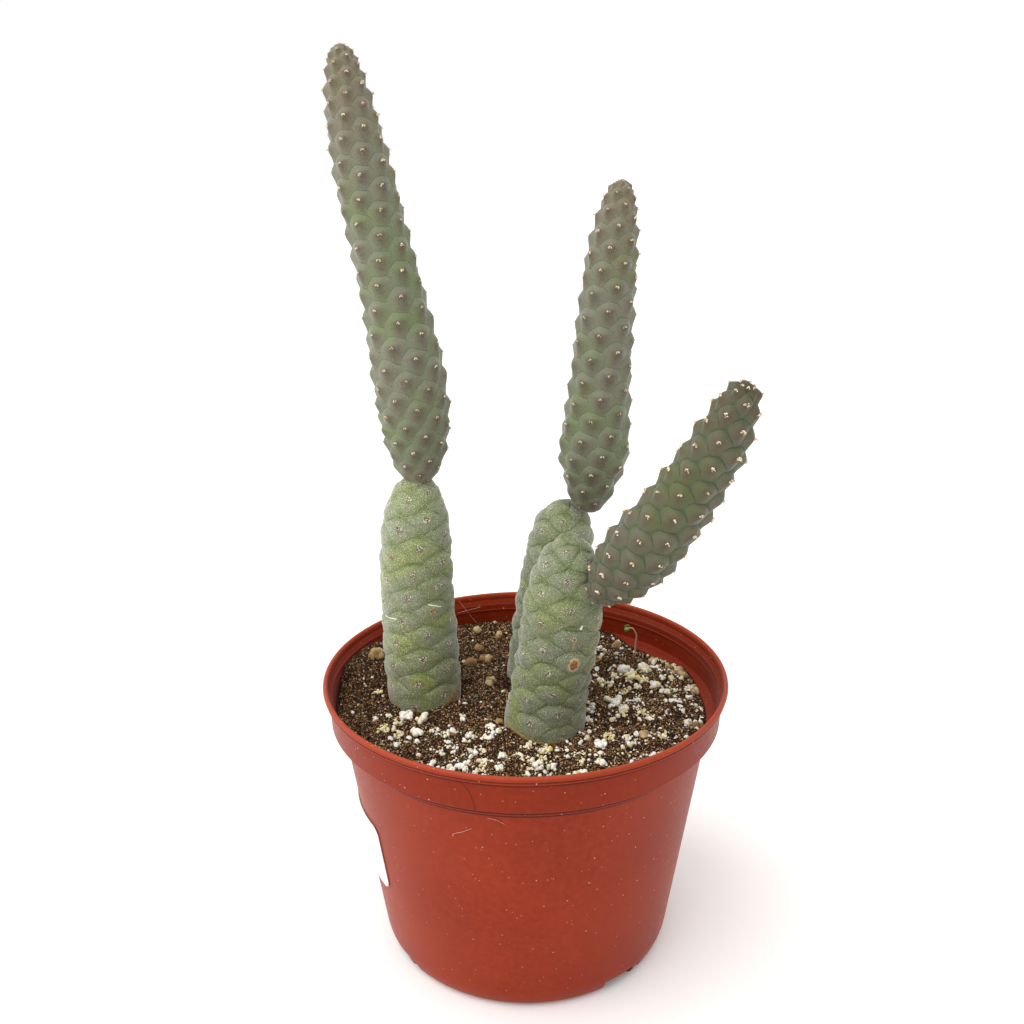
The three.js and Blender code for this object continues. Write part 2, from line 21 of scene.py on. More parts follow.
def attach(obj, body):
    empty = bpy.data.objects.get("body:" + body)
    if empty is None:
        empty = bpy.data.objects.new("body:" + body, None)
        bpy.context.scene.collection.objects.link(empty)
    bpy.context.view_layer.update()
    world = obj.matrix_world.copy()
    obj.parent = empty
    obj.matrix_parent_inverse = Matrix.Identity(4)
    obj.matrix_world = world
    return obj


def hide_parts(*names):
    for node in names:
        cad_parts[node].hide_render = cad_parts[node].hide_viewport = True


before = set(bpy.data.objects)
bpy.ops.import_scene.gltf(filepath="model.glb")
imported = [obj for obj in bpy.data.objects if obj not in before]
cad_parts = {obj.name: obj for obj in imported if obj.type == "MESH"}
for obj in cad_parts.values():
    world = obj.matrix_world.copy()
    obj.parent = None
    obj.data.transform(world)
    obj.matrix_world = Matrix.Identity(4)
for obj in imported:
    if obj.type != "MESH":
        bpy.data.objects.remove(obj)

LOG = logging.getLogger("cactus")
MM = 0.001
CM2_PER_M2 = 1e4
AXIS_STEP = 0.002
EVEN_SPREAD = 0.7548

Colour = tuple[float, float, float, float]
Shade = tuple[int, int, int]
Point = tuple[float, float, float]
Corner = tuple[float, float, float]
Feed = object
NEIGHBOURS = ((0, 0), (1, 0), (-1, 0), (0, 1), (0, -1), (1, 1), (-1, -1))
FORM = ("Above", "Below", "Aside", "Power", "Corner", "Wobble")


class Slot(Enum):
    """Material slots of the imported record."""

    POT = "terracotta_plastic"
    SOIL = "gritty_soil"
    OLD_SKIN = "old_skin"
    YOUNG_SKIN = "young_skin"
    SEEDLING = "seedling_green"
    LABEL = "blank_label"


class Age(Enum):
    """Age of a stem segment, which settles its relief, colour and tufts."""

    OLD = "old"
    YOUNG = "young"


def paint(red: int, green: int, blue: int) -> Colour:
    """Linear opaque colour of a display colour.

    Args:
        red: Display red, 0 to 255.
        green: Display green, 0 to 255.
        blue: Display blue, 0 to 255.

    Returns:
        Linear red, green, blue and an opacity of one.
    """
    linear = [
        part / 12.92 if part <= 0.04045 else ((part + 0.055) / 1.055) ** 2.4
        for part in (red / 255, green / 255, blue / 255)
    ]
    return (linear[0], linear[1], linear[2], 1.0)


def paints(*colours: Shade) -> tuple[Colour, ...]:
    """Linear colours of several display colours."""
    return tuple(paint(*colour) for colour in colours)


def smoothstep(low: float, high: float, value: np.ndarray) -> np.ndarray:
    """Smooth rise from 0 at low to 1 at high."""
    x = np.clip((value - low) / (high - low), 0.0, 1.0)
    return x * x * (3 - 2 * x)


def keep_result(piece: Object, modifier: Modifier) -> None:
    """Makes what a modifier shows the piece's own mesh, and takes the modifier off."""
    depsgraph = bpy.context.evaluated_depsgraph_get()
    seen = piece.evaluated_get(depsgraph)
    made = bpy.data.meshes.new_from_object(seen, preserve_all_data_layers=True, depsgraph=depsgraph)
    raw = piece.data
    piece.modifiers.remove(modifier)
    piece.data = made
    bpy.data.meshes.remove(raw)
    made.name = piece.name


def read_numbers(rows: bpy_prop_collection, key: str, width: int = 1) -> np.ndarray:
    """One value of every row of a mesh's data, as numbers or as vectors of a width."""
    out = np.zeros(len(rows) * width)
    rows.foreach_get(key, out)
    return out.reshape(-1, width) if width > 1 else out


def titled(sizes: object) -> dict[str, object]:
    """Values of a dataclass, by the names that a tree's inputs have for its fields."""
    return {part.name.replace("_", " ").title(): getattr(sizes, part.name) for part in fields(sizes)}


class Wiring:
    """Adds nodes to one node tree and joins their sockets."""

    def __init__(self, tree: NodeTree) -> None:
        """Keeps the tree that the nodes go into."""
        self.tree = tree

    def feed(self, socket: NodeSocket, value: Feed) -> None:
        """Links a socket into another, or sets its plain value."""
        if isinstance(value, NodeSocket):
            self.tree.links.new(value, socket)
        else:
            socket.default_value = value

    def add(self, kind: str, feeds: Mapping[str | int, Feed] | None = None, **settings: object) -> Node:
        """Adds a node.

        Args:
            kind: Blender's name for the type of node.
            feeds: Values or sockets for its inputs, by name or number.
            settings: Properties of the node itself.

        Returns:
            The new node.
        """
        node = self.tree.nodes.new(kind)
        for name, value in settings.items():
            setattr(node, name, value)
        for key, value in (feeds or {}).items():
            self.feed(node.inputs[key], value)
        return node

    def math(self, operation: str, *values: Feed, clamp: bool = False) -> NodeSocket:
        """Result of a scalar operation on up to three values."""
        node = self.add("ShaderNodeMath", dict(enumerate(values)), operation=operation, use_clamp=clamp)
        return node.outputs[0]

    def plus(self, first: Feed, second: Feed) -> NodeSocket:
        """Sum of two numbers."""
        return self.math("ADD", first, second)

    def minus(self, first: Feed, second: Feed) -> NodeSocket:
        """Difference of two numbers."""
        return self.math("SUBTRACT", first, second)

    def times(self, first: Feed, second: Feed) -> NodeSocket:
        """Product of two numbers."""
        return self.math("MULTIPLY", first, second)

    def over(self, first: Feed, second: Feed) -> NodeSocket:
        """Quotient of two numbers."""
        return self.math("DIVIDE", first, second)

    def vector(self, operation: str, *values: Feed) -> NodeSocket:
        """Result of a vector operation: a number for a length or a product, else a vector."""
        node = self.add("ShaderNodeVectorMath", dict(enumerate(values)), operation=operation)
        return node.outputs["Value" if operation in ("DOT_PRODUCT", "LENGTH") else "Vector"]

    def scaled(self, value: Feed, share: Feed) -> NodeSocket:
        """Vector times a number."""
        return self.add(
            "ShaderNodeVectorMath", {0: value, "Scale": share}, operation="SCALE"
        ).outputs["Vector"]

    def mix(self, share: Feed, first: Feed, second: Feed) -> NodeSocket:
        """Number between two others: the first at share 0, the second at share 1."""
        return self.blend(share, first, second, "FLOAT")

    def remap(self, value: Feed, low: Feed, high: Feed, to: tuple[Feed, Feed] = (0.0, 1.0)) -> NodeSocket:
        """Value carried smoothly from the range low to high over to another range."""
        feeds = {0: value, 1: low, 2: high, 3: to[0], 4: to[1]}
        return self.add("ShaderNodeMapRange", feeds, interpolation_type="SMOOTHSTEP").outputs[0]

    def blend(
        self, share: Feed, first: Feed, second: Feed, kind: str = "RGBA", mode: str = "MIX"
    ) -> NodeSocket:
        """Mix of two values.

        Args:
            share: How much of the second value there is, 0 to 1.
            first: Value at share 0.
            second: Value at share 1.
            kind: RGBA, FLOAT or VECTOR.
            mode: How two colours are joined.

        Returns:
            The mixed value's socket.
        """
        place, out = {"FLOAT": (2, 0), "VECTOR": (4, 1), "RGBA": (6, 2)}[kind]
        node = self.add("ShaderNodeMix", {0: share, place: first, place + 1: second}, data_type=kind)
        if kind == "RGBA":
            node.blend_type = mode
        return node.outputs[out]

    def noise(self, place: Feed, scale: Feed, detail: float = 2.0, shift: Feed = 0.0) -> NodeSocket:
        """Soft noise from 0 to 1 at a place, with a shift that makes another pattern."""
        feeds = {"Vector": place, "W": shift, "Scale": scale, "Detail": detail}
        return self.add("ShaderNodeTexNoise", feeds, noise_dimensions="4D").outputs[0]

    def cells(self, place: Feed, scale: Feed, randomness: float = 1.0) -> Mapping[str, NodeSocket]:
        """Voronoi cells, as the outputs Distance and Color."""
        return self.add(
            "ShaderNodeTexVoronoi", {"Vector": place, "Scale": scale, "Randomness": randomness}
        ).outputs

    def parts(self, value: Feed) -> tuple[NodeSocket, ...]:
        """The three parts of a vector."""
        return tuple(self.add("ShaderNodeSeparateXYZ", {0: value}).outputs)

    def domes(
        self, sizes: Mapping[str, Feed], place: Feed, lattice: Feed, steep_way: Feed, flat_way: Feed
    ) -> tuple[Feed, ...]:
        """The domes of the tubercles that overlap at a place on a stem.

        Each areole carries a dome that falls off faster above than below; the highest one
        at a place wins, and the tubercles meet in creases.

        Args:
            sizes: Reach and form of a dome: Above, Below, Aside, Power, Corner and Wobble.
            place: The place.
            lattice: Its shares of a step from an areole along the steep and the flat rows.
            steep_way: Step along the steep rows, in shares of the spacing of the tubercles.
            flat_way: Step along the flat rows.

        Returns:
            Heights of the highest dome and of the next, the way from the first one's areole,
            and how far the place is over the areole of the first and of either.
        """
        steep, flat, _ = self.parts(lattice)
        sway = self.add(
            "ShaderNodeTexNoise", {"Vector": place, "Scale": 130.0, "Detail": 1.0}
        ).outputs["Color"]
        sway = self.scaled(self.vector("SUBTRACT", sway, (0.5, 0.5, 0.5)), sizes["Wobble"])
        best: Feed = -9.0
        second: Feed = -9.0
        over_best: Feed = 0.0
        over_second: Feed = 0.0
        offset: Feed = (0.0, 0.0, 0.0)
        for up, over in NEIGHBOURS:
            first = self.scaled(steep_way, self.minus(steep, up))
            other = self.scaled(flat_way, self.minus(flat, over))
            way = self.vector("ADD", self.vector("ADD", first, other), sway)
            across, rise, _ = self.parts(way)
            upper = self.remap(rise, -0.08, 0.08)
            reach = self.mix(upper, sizes["Below"], sizes["Above"])
            corner = self.mix(upper, sizes["Corner"], 2.0)
            wide = self.math("POWER", self.math("ABSOLUTE", self.over(across, sizes["Aside"])), corner)
            tall = self.math("POWER", self.math("ABSOLUTE", self.over(rise, reach)), corner)
            apart = self.math("POWER", self.plus(wide, tall), self.over(sizes["Power"], corner))
            dome = self.minus(1.0, apart)
            above = self.remap(rise, 0.02, 0.16)
            leads = self.math("GREATER_THAN", dome, best)
            follows = self.math("GREATER_THAN", dome, second)
            over_second = self.mix(leads, self.mix(follows, over_second, above), over_best)
            over_best = self.mix(leads, over_best, above)
            second = self.math("MAXIMUM", second, self.math("MINIMUM", best, dome))
            offset = self.blend(leads, offset, way, "VECTOR")
            best = self.math("MAXIMUM", best, dome)
        either = self.math("MAXIMUM", over_best, over_second)
        return best, second, self.vector("SUBTRACT", offset, sway), over_best, either

    def bell(self, across: Feed, rise: Feed, wide: Feed, tall: Feed) -> NodeSocket:
        """Round bump, 1 at its middle, over a width and a height."""
        first = self.math("POWER", self.over(across, wide), 2.0)
        other = self.math("POWER", self.over(rise, tall), 2.0)
        return self.math("EXPONENT", self.times(self.plus(first, other), -1.0))


class GeometryTree(Wiring):
    """A Geometry Nodes tree with named inputs for its sizes, baked into plain meshes."""

    def __init__(self, name: str, sizes: Mapping[str, str]) -> None:
        """Makes the empty tree.

        Args:
            name: Name of the tree.
            sizes: Kind of socket of each named input.
        """
        super().__init__(bpy.data.node_groups.new(name, "GeometryNodeTree"))
        sockets = self.tree.interface
        sockets.new_socket("Geometry", in_out="INPUT", socket_type="NodeSocketGeometry")
        for label, kind in sizes.items():
            sockets.new_socket(label, in_out="INPUT", socket_type=f"NodeSocket{kind}")
        sockets.new_socket("Finish", in_out="INPUT", socket_type="NodeSocketMaterial")
        sockets.new_socket("Geometry", in_out="OUTPUT", socket_type="NodeSocketGeometry")
        self.inputs = self.tree.nodes.new("NodeGroupInput").outputs

    def position(self) -> NodeSocket:
        """Place of each point of the geometry."""
        return self.add("GeometryNodeInputPosition").outputs[0]

    def moved(self, geometry: Feed, offset: Feed) -> NodeSocket:
        """The geometry with its points moved."""
        return self.add("GeometryNodeSetPosition", {"Geometry": geometry, "Offset": offset}).outputs[0]

    def attribute(self, name: str, kind: str = "FLOAT") -> NodeSocket:
        """A named attribute of the geometry."""
        return self.add("GeometryNodeInputNamedAttribute", {"Name": name}, data_type=kind).outputs[0]

    def store(self, geometry: Feed, name: str, value: Feed, domain: str = "POINT") -> NodeSocket:
        """The geometry with a number kept under a name."""
        feeds = {"Geometry": geometry, "Name": name, "Value": value}
        return self.add("GeometryNodeStoreNamedAttribute", feeds, domain=domain, data_type="FLOAT").outputs[0]

    def random(self, low: Feed, high: Feed, seed: Feed, salt: int = 0, kind: str = "FLOAT") -> NodeSocket:
        """Random values between two others.

        Args:
            low: Smallest value.
            high: Largest value.
            seed: The tree's own seed.
            salt: Sets this draw apart from the tree's others.
            kind: FLOAT, FLOAT_VECTOR or INT.

        Returns:
            The random value's socket.
        """
        place, out = {"FLOAT_VECTOR": (0, 0), "FLOAT": (2, 1), "INT": (4, 2)}[kind]
        feeds = {place: low, place + 1: high, "Seed": self.plus(seed, salt)}
        return self.add("FunctionNodeRandomValue", feeds, data_type=kind).outputs[out]

    def finish(self, geometry: Feed, smooth: bool = True) -> None:
        """Ends the tree: real meshes, their shading and their material."""
        real = self.add("GeometryNodeRealizeInstances", {"Geometry": geometry}).outputs[0]
        shaded = self.add("GeometryNodeSetShadeSmooth", {"Geometry": real, "Shade Smooth": smooth}).outputs[0]
        painted = self.add("GeometryNodeSetMaterial", {"Geometry": shaded, "Material": self.inputs["Finish"]})
        self.add("NodeGroupOutput", {0: painted.outputs[0]})

    def bake(self, piece: Object, values: Mapping[str, object]) -> None:
        """Runs the tree on a piece and keeps the result as the piece's plain mesh.

        Args:
            piece: Object whose mesh the tree starts from.
            values: Values of the tree's named inputs.
        """
        modifier = piece.modifiers.new(self.tree.name, "NODES")
        modifier.node_group = self.tree
        for item in self.tree.interface.items_tree:
            if item.in_out == "INPUT" and item.name in values:
                modifier[item.identifier] = values[item.name]
        keep_result(piece, modifier)


class ShaderGroup(Wiring):
    """A shader effect shared by several materials: a group with named inputs and outputs."""

    def __init__(self, name: str, inputs: Mapping[str, float | Point], outputs: Sequence[str]) -> None:
        """Makes the group.

        Args:
            name: Name of the group.
            inputs: Named inputs with their usual values; a triple makes a vector.
            outputs: Named outputs, all of them numbers.
        """
        super().__init__(bpy.data.node_groups.new(name, "ShaderNodeTree"))
        for label, value in inputs.items():
            kind = "NodeSocketVector" if isinstance(value, tuple) else "NodeSocketFloat"
            self.tree.interface.new_socket(label, in_out="INPUT", socket_type=kind).default_value = value
        for label in outputs:
            self.tree.interface.new_socket(label, in_out="OUTPUT", socket_type="NodeSocketFloat")
        self.inputs = self.tree.nodes.new("NodeGroupInput").outputs
        self.ends = self.tree.nodes.new("NodeGroupOutput")

    def give(self, name: str, value: Feed) -> None:
        """Sends a value out of the group."""
        self.feed(self.ends.inputs[name], value)


class Effects:
    """The shader effects that the materials share, each built once."""

    def __init__(self) -> None:
        """Builds every effect."""
        self.speckle = self._speckle()
        self.spot = self._spot()
        self.stroke = self._stroke()
        self.tubercles = self._tubercles()

    @staticmethod
    def _speckle() -> ShaderGroup:
        """Round grains of a given spacing, a share of them left out, with a mask and a height."""
        group = ShaderGroup(
            "speckle", {"Place": (0.0, 0.0, 0.0), "Spacing": 0.0005, "Size": 0.3, "Share": 0.6},
            ["Mask", "Height", "Tone"],
        )
        cells = group.cells(group.inputs["Place"], group.over(1.0, group.inputs["Spacing"]))
        tone, chance, _ = group.parts(cells["Color"])
        edge = group.times(group.inputs["Size"], 1.5)
        dome = group.remap(cells["Distance"], edge, group.times(edge, 0.35))
        kept = group.math("LESS_THAN", chance, group.inputs["Share"])
        group.give("Mask", group.times(dome, kept))
        group.give("Height", dome)
        group.give("Tone", tone)
        return group

    @staticmethod
    def _spot() -> ShaderGroup:
        """A ragged round spot about a centre."""
        group = ShaderGroup(
            "spot",
            {
                "Place": (0.0, 0.0, 0.0), "Centre": (0.0, 0.0, 0.0), "Radius": 0.001,
                "Stretch": (1.0, 1.0, 1.0),
            },
            ["Mask", "Rim"],
        )
        offset = group.vector("SUBTRACT", group.inputs["Place"], group.inputs["Centre"])
        offset = group.vector("DIVIDE", offset, group.inputs["Stretch"])
        ragged = group.noise(group.inputs["Place"], 1400.0, 3.0)
        reach = group.times(group.inputs["Radius"], group.plus(ragged, 0.5))
        share = group.over(group.vector("LENGTH", offset), reach)
        group.give("Mask", group.remap(share, 1.1, 0.75))
        group.give("Rim", group.times(group.remap(share, 1.35, 1.0), group.remap(share, 0.7, 0.95)))
        return group

    @staticmethod
    def _stroke() -> ShaderGroup:
        """A thin line between two points of a surface, wavering a little, seen square to its face."""
        points = dict.fromkeys(("Place", "Start", "End", "Face"), (0.0, 0.0, 1.0))
        group = ShaderGroup("stroke", {**points, "Width": 0.0002, "Waver": 0.0004}, ["Mask"])
        start, end = group.inputs["Start"], group.inputs["End"]
        wander = group.add(
            "ShaderNodeTexNoise", {"Vector": group.inputs["Place"], "Scale": 300.0, "Detail": 1.0}
        )
        bend = group.vector("SUBTRACT", wander.outputs["Color"], (0.5, 0.5, 0.5))
        bend = group.scaled(bend, group.inputs["Waver"])
        offset = group.vector("SUBTRACT", group.vector("ADD", group.inputs["Place"], bend), start)
        run = group.vector("SUBTRACT", end, start)
        share = group.math(
            "DIVIDE", group.vector("DOT_PRODUCT", offset, run), group.vector("DOT_PRODUCT", run, run),
            clamp=True,
        )
        across = group.vector("SUBTRACT", offset, group.scaled(run, share))
        deep = group.vector("DOT_PRODUCT", across, group.inputs["Face"])
        across = group.vector("SUBTRACT", across, group.scaled(group.inputs["Face"], deep))
        across = group.vector("LENGTH", across)
        line = group.remap(across, group.inputs["Width"], group.times(group.inputs["Width"], 0.4))
        near = group.math("LESS_THAN", group.math("ABSOLUTE", deep), 0.003)
        group.give("Mask", group.times(line, near))
        return group

    @staticmethod
    def _tubercles() -> ShaderGroup:
        """The tubercles at a point of a stem's skin: height, creases, closeness to the areole, and masks of
        painted light: painted shade in the creases, a painted highlight beside them and a painted shadow
        below the areole.
        """
        sizes = dict.fromkeys((*FORM, "Line"), 1.0)
        group = ShaderGroup(
            "tubercles", {"Place": (0.0, 0.0, 0.0), **sizes}, ["Height", "Line", "Rim", "Tail", "Near"]
        )
        names = ("lattice_at", "steep_way", "flat_way")
        ways = [group.add("ShaderNodeAttribute", attribute_name=name).outputs["Vector"] for name in names]
        best, second, offset, over_best, either = group.domes(group.inputs, group.inputs["Place"], *ways)
        across, rise, _ = group.parts(offset)
        gap = group.minus(best, second)
        below = group.mix(group.math("GREATER_THAN", rise, 0.0), 0.55, 0.1)
        outer = group.minus(either, group.times(over_best, 0.6))
        group.give("Height", best)
        # Line: painted shade on the outer side of each tubercle's crease.
        group.give("Line", group.times(group.remap(gap, group.inputs["Line"], 0.03), outer))
        # Rim: painted highlight on the inner side of a tubercle's crease.
        group.give("Rim", group.times(group.remap(gap, group.inputs["Line"], 0.05), over_best))
        # Tail: brown tint below the areole, which also stands for the painted shadow under its nipple.
        group.give("Tail", group.bell(across, rise, 0.3, below))
        group.give("Near", group.vector("LENGTH", offset))
        return group


class MaterialWiring(Wiring):
    """The node tree of one material, ending in a Principled shader."""

    def __init__(self, name: str, effects: Effects) -> None:
        """Makes the material and its place coordinates."""
        self.material = bpy.data.materials.new(name)
        self.material.use_nodes = True
        super().__init__(self.material.node_tree)
        self.effects = effects
        self.shader = self.tree.nodes["Principled BSDF"]
        self.place = self.add("ShaderNodeTexCoord").outputs["Object"]

    def attribute(self, name: str) -> NodeSocket:
        """A number kept on the mesh."""
        return self.add("ShaderNodeAttribute", attribute_name=name).outputs["Fac"]

    def drift(self, scale: float, detail: float = 2.0, shift: float = 0.0) -> NodeSocket:
        """Soft noise from 0 to 1 over the piece itself."""
        return self.noise(self.place, scale, detail, shift)

    def effect(self, group: ShaderGroup, **values: Feed) -> Mapping[str, NodeSocket]:
        """Outputs of a shared effect, placed with this material's own values for its inputs."""
        node = self.add("ShaderNodeGroup", node_tree=group.tree)
        self.feed(node.inputs["Place"], self.place)
        for name, value in values.items():
            self.feed(node.inputs[name], value)
        return node.outputs

    def bump(self, height: Feed, depth: float, below: Feed | None = None) -> NodeSocket:
        """Normal of a height pattern of 0 to 1 with a depth in metres, on top of another normal."""
        feeds: dict[str | int, Feed] = {"Strength": 1.0, "Distance": depth, "Height": height}
        if below is not None:
            feeds["Normal"] = below
        return self.add("ShaderNodeBump", feeds).outputs[0]

    def done(
        self, colour: Feed, roughness: Feed, normal: Feed | None = None, **constants: object
    ) -> Material:
        """Feeds the shader and sets its constant sockets.

        Args:
            colour: Base colour.
            roughness: Roughness.
            normal: Bumped normal, if any.
            constants: Values set on the shader's own sockets; an underscore stands for a space.

        Returns:
            The finished material.
        """
        self.feed(self.shader.inputs["Base Color"], colour)
        self.feed(self.shader.inputs["Roughness"], roughness)
        if normal is not None:
            self.feed(self.shader.inputs["Normal"], normal)
        for name, value in constants.items():
            self.shader.inputs[name.replace("_", " ")].default_value = value
        return self.material


@dataclass(frozen=True)
class Mark:
    """A blemish on a stem segment's skin."""

    height: float
    angle: float
    radius: float
    flat: float = 1.0
    strength: float = 1.0


@dataclass(frozen=True)
class Scratch:
    """A thin pale line on a stem segment's skin, between two places on it."""

    start: tuple[float, float]
    end: tuple[float, float]
    width: float = 0.22
    strength: float = 0.95
    colour: Colour = paint(238, 236, 222)


@dataclass(frozen=True)
class SkinFinish:
    """Skin of a stem segment: colours, and how strongly each of them shows."""

    ground: Colour
    fresh: Colour
    # Colour of the furrows: the skin's green with painted shade.
    hollow: Colour
    # Colour of the painted shade along the creases, and of the gaps between the papillae.
    line: Colour
    # Brown tint below each areole, which also stands for the painted shadow under its nipple.
    blush: Colour
    # Colour of the pale papillae, and of the painted highlight beside the creases.
    grain: Colour
    # Colour toward the base: darker on the young stems; on the old stems a painted brightening of the lower
    # part that stands in for light.
    foot: Colour
    head: Colour
    foot_strength: float
    head_strength: float
    patch_spacing: float
    patch_share: tuple[float, float]
    grain_spacing: float
    grain_size: float
    grain_strength: float
    gap_strength: float
    grain_depth: float
    blush_strength: float
    felt_strength: float
    hollow_strength: float
    hollow_reach: tuple[float, float]
    line_strength: float
    line_width: float
    rim_strength: float
    roughness: float
    sheen: float

    def build(self, name: str, effects: Effects, segment: "Segment", relief: "Relief") -> Material:
        """Makes the material of one segment.

        Args:
            name: Name of the material.
            effects: The shared effects.
            segment: The segment, for its shade and its blemishes.
            relief: Form of its tubercles.

        Returns:
            The material.
        """
        tree = MaterialWiring(name, effects)
        cells = tree.effect(effects.tubercles, Line=self.line_width, **relief.form())
        colour = self._ground(tree, cells, relief)
        colour, both = self._papillae(tree, colour)
        normal = tree.bump(both, self.grain_depth * MM)
        colour = self._felt(tree, colour, cells["Near"])
        colour, normal = self._cork(tree, colour, normal, segment)
        for mark in segment.marks:
            colour, normal = self._scar(tree, colour, normal, segment, mark)
        for scratch in segment.scratches:
            start, end = (segment.point(*place) * MM for place in (scratch.start, scratch.end))
            face = segment.directions(*scratch.start)[1] + segment.directions(*scratch.end)[1]
            face /= np.linalg.norm(face)
            line = tree.effect(
                effects.stroke, Start=tuple(start), End=tuple(end), Face=tuple(face),
                Width=scratch.width * MM, Waver=0.4 * MM,
            )
            colour = tree.blend(tree.times(line["Mask"], scratch.strength), colour, scratch.colour)
        # Painted light and shade: the whole skin made lighter or darker for this segment.
        colour = tree.blend(1.0, colour, (segment.shade,) * 3 + (1.0,), mode="MULTIPLY")
        mottle = tree.drift(700.0, 3.0, 7.0)
        rough = tree.remap(mottle, 0.2, 0.8, (self.roughness - 0.08, self.roughness + 0.08))
        return tree.done(
            colour, rough, normal, Sheen_Weight=self.sheen, Sheen_Roughness=0.4, Specular_IOR_Level=0.3
        )

    def _ground(self, tree: MaterialWiring, cells: Mapping[str, Feed], relief: "Relief") -> Feed:
        """Broad colour of the skin: patches, foot and head, hollows, creases and tips, with painted light: a
        lighter foot on old stems, painted shade in the hollows and along the creases, a painted highlight
        beside the creases and a painted shadow below each areole.
        """
        climb = tree.attribute("climb")
        drift = tree.drift(1000 / self.patch_spacing, 3.0)
        colour = tree.blend(tree.remap(drift, *self.patch_share), self.ground, self.fresh)
        ragged = tree.plus(climb, tree.times(tree.minus(drift, 0.5), 0.5))
        # Toward the base: darker on young stems, painted lighter on old stems in place of light.
        colour = tree.blend(tree.remap(ragged, 0.34, 0.02, (0.0, self.foot_strength)), colour, self.foot)
        colour = tree.blend(tree.remap(climb, 0.075, 0.02, (0.0, 0.6)), colour, paint(118, 100, 86))
        colour = tree.blend(tree.remap(ragged, 0.62, 0.98, (0.0, self.head_strength)), colour, self.head)
        mottle = tree.drift(600.0, 3.0, 7.0)
        # Greener and darker in the furrows: the skin's own green with painted shade.
        depth = tree.plus(cells["Height"], tree.times(tree.minus(mottle, 0.5), 0.6))
        colour = tree.blend(
            tree.remap(depth, *self.hollow_reach, (0.0, self.hollow_strength)), colour, self.hollow
        )
        # Brown tint with painted shadow below each areole.
        tail_tint_and_shadow = tree.times(cells["Tail"], tree.remap(mottle, 0.25, 0.7, (0.6, 1.0)))
        colour = tree.blend(tree.times(tail_tint_and_shadow, self.blush_strength), colour, self.blush)
        shown = tree.remap(tree.drift(100.0, 1.0, 3.0), 0.32, 0.5, (1.0 - relief.crease_patches, 1.0))
        # Painted light beside the creases: a highlight in the papillae colour on each tubercle's own side,
        # painted shade on the outer side.
        for share, strength, shade in (
            (cells["Rim"], self.rim_strength, self.grain), (cells["Line"], self.line_strength, self.line)
        ):
            colour = tree.blend(tree.times(share, tree.times(shown, strength)), colour, shade)
        return colour

    def _papillae(self, tree: MaterialWiring, colour: Feed) -> tuple[Feed, Feed]:
        """Adds pale grains with darker gaps between them; also gives their height."""
        effects = tree.effects
        coarse = tree.effect(
            effects.speckle, Spacing=self.grain_spacing * MM, Size=self.grain_size, Share=0.72
        )
        fine = tree.effect(
            effects.speckle, Spacing=self.grain_spacing * 0.62 * MM, Size=self.grain_size, Share=0.5
        )
        both = tree.math("MAXIMUM", coarse["Mask"], tree.times(fine["Mask"], 0.7))
        cloud = tree.remap(tree.drift(150.0, 2.0, 11.0), 0.35, 0.65, (0.5, 1.0))
        pale = tree.times(tree.times(both, cloud), self.grain_strength)
        colour = tree.blend(pale, colour, self.grain)
        gaps = tree.times(tree.minus(1.0, both), self.gap_strength)
        return tree.blend(gaps, colour, self.line), both

    def _felt(self, tree: MaterialWiring, colour: Feed, near: Feed) -> Feed:
        """Adds the mottled felt of an areole, whitish and purple-brown."""
        grains = tree.cells(tree.place, 1 / (0.4 * MM))
        tone, chance, _ = tree.parts(grains["Color"])
        felt = tree.blend(tree.remap(tone, 0.62, 0.78), paint(92, 74, 56), paint(214, 206, 186))
        share = tree.remap(tree.plus(near, tree.times(chance, 0.1)), 0.18, 0.12)
        return tree.blend(tree.times(share, self.felt_strength), colour, felt)

    @staticmethod
    def _scar(
        tree: MaterialWiring, colour: Feed, normal: Feed, segment: "Segment", mark: Mark
    ) -> tuple[Feed, Feed]:
        """Adds a corky scar with a pale rim."""
        centre = tuple(segment.point(mark.height, mark.angle) * MM)
        spot = tree.effect(
            tree.effects.spot, Centre=centre, Radius=mark.radius * MM, Stretch=(1.0, 1.0, mark.flat)
        )
        flakes = tree.drift(1300.0, 3.0, 7.0)
        crust = tree.blend(tree.remap(flakes, 0.4, 0.6), paint(176, 118, 56), paint(112, 60, 22))
        colour = tree.blend(tree.times(spot["Mask"], mark.strength), colour, crust)
        rim = tree.times(spot["Rim"], 0.75 * mark.strength**3)
        colour = tree.blend(rim, colour, paint(226, 200, 144))
        return colour, tree.bump(spot["Mask"], 0.2 * MM, normal)

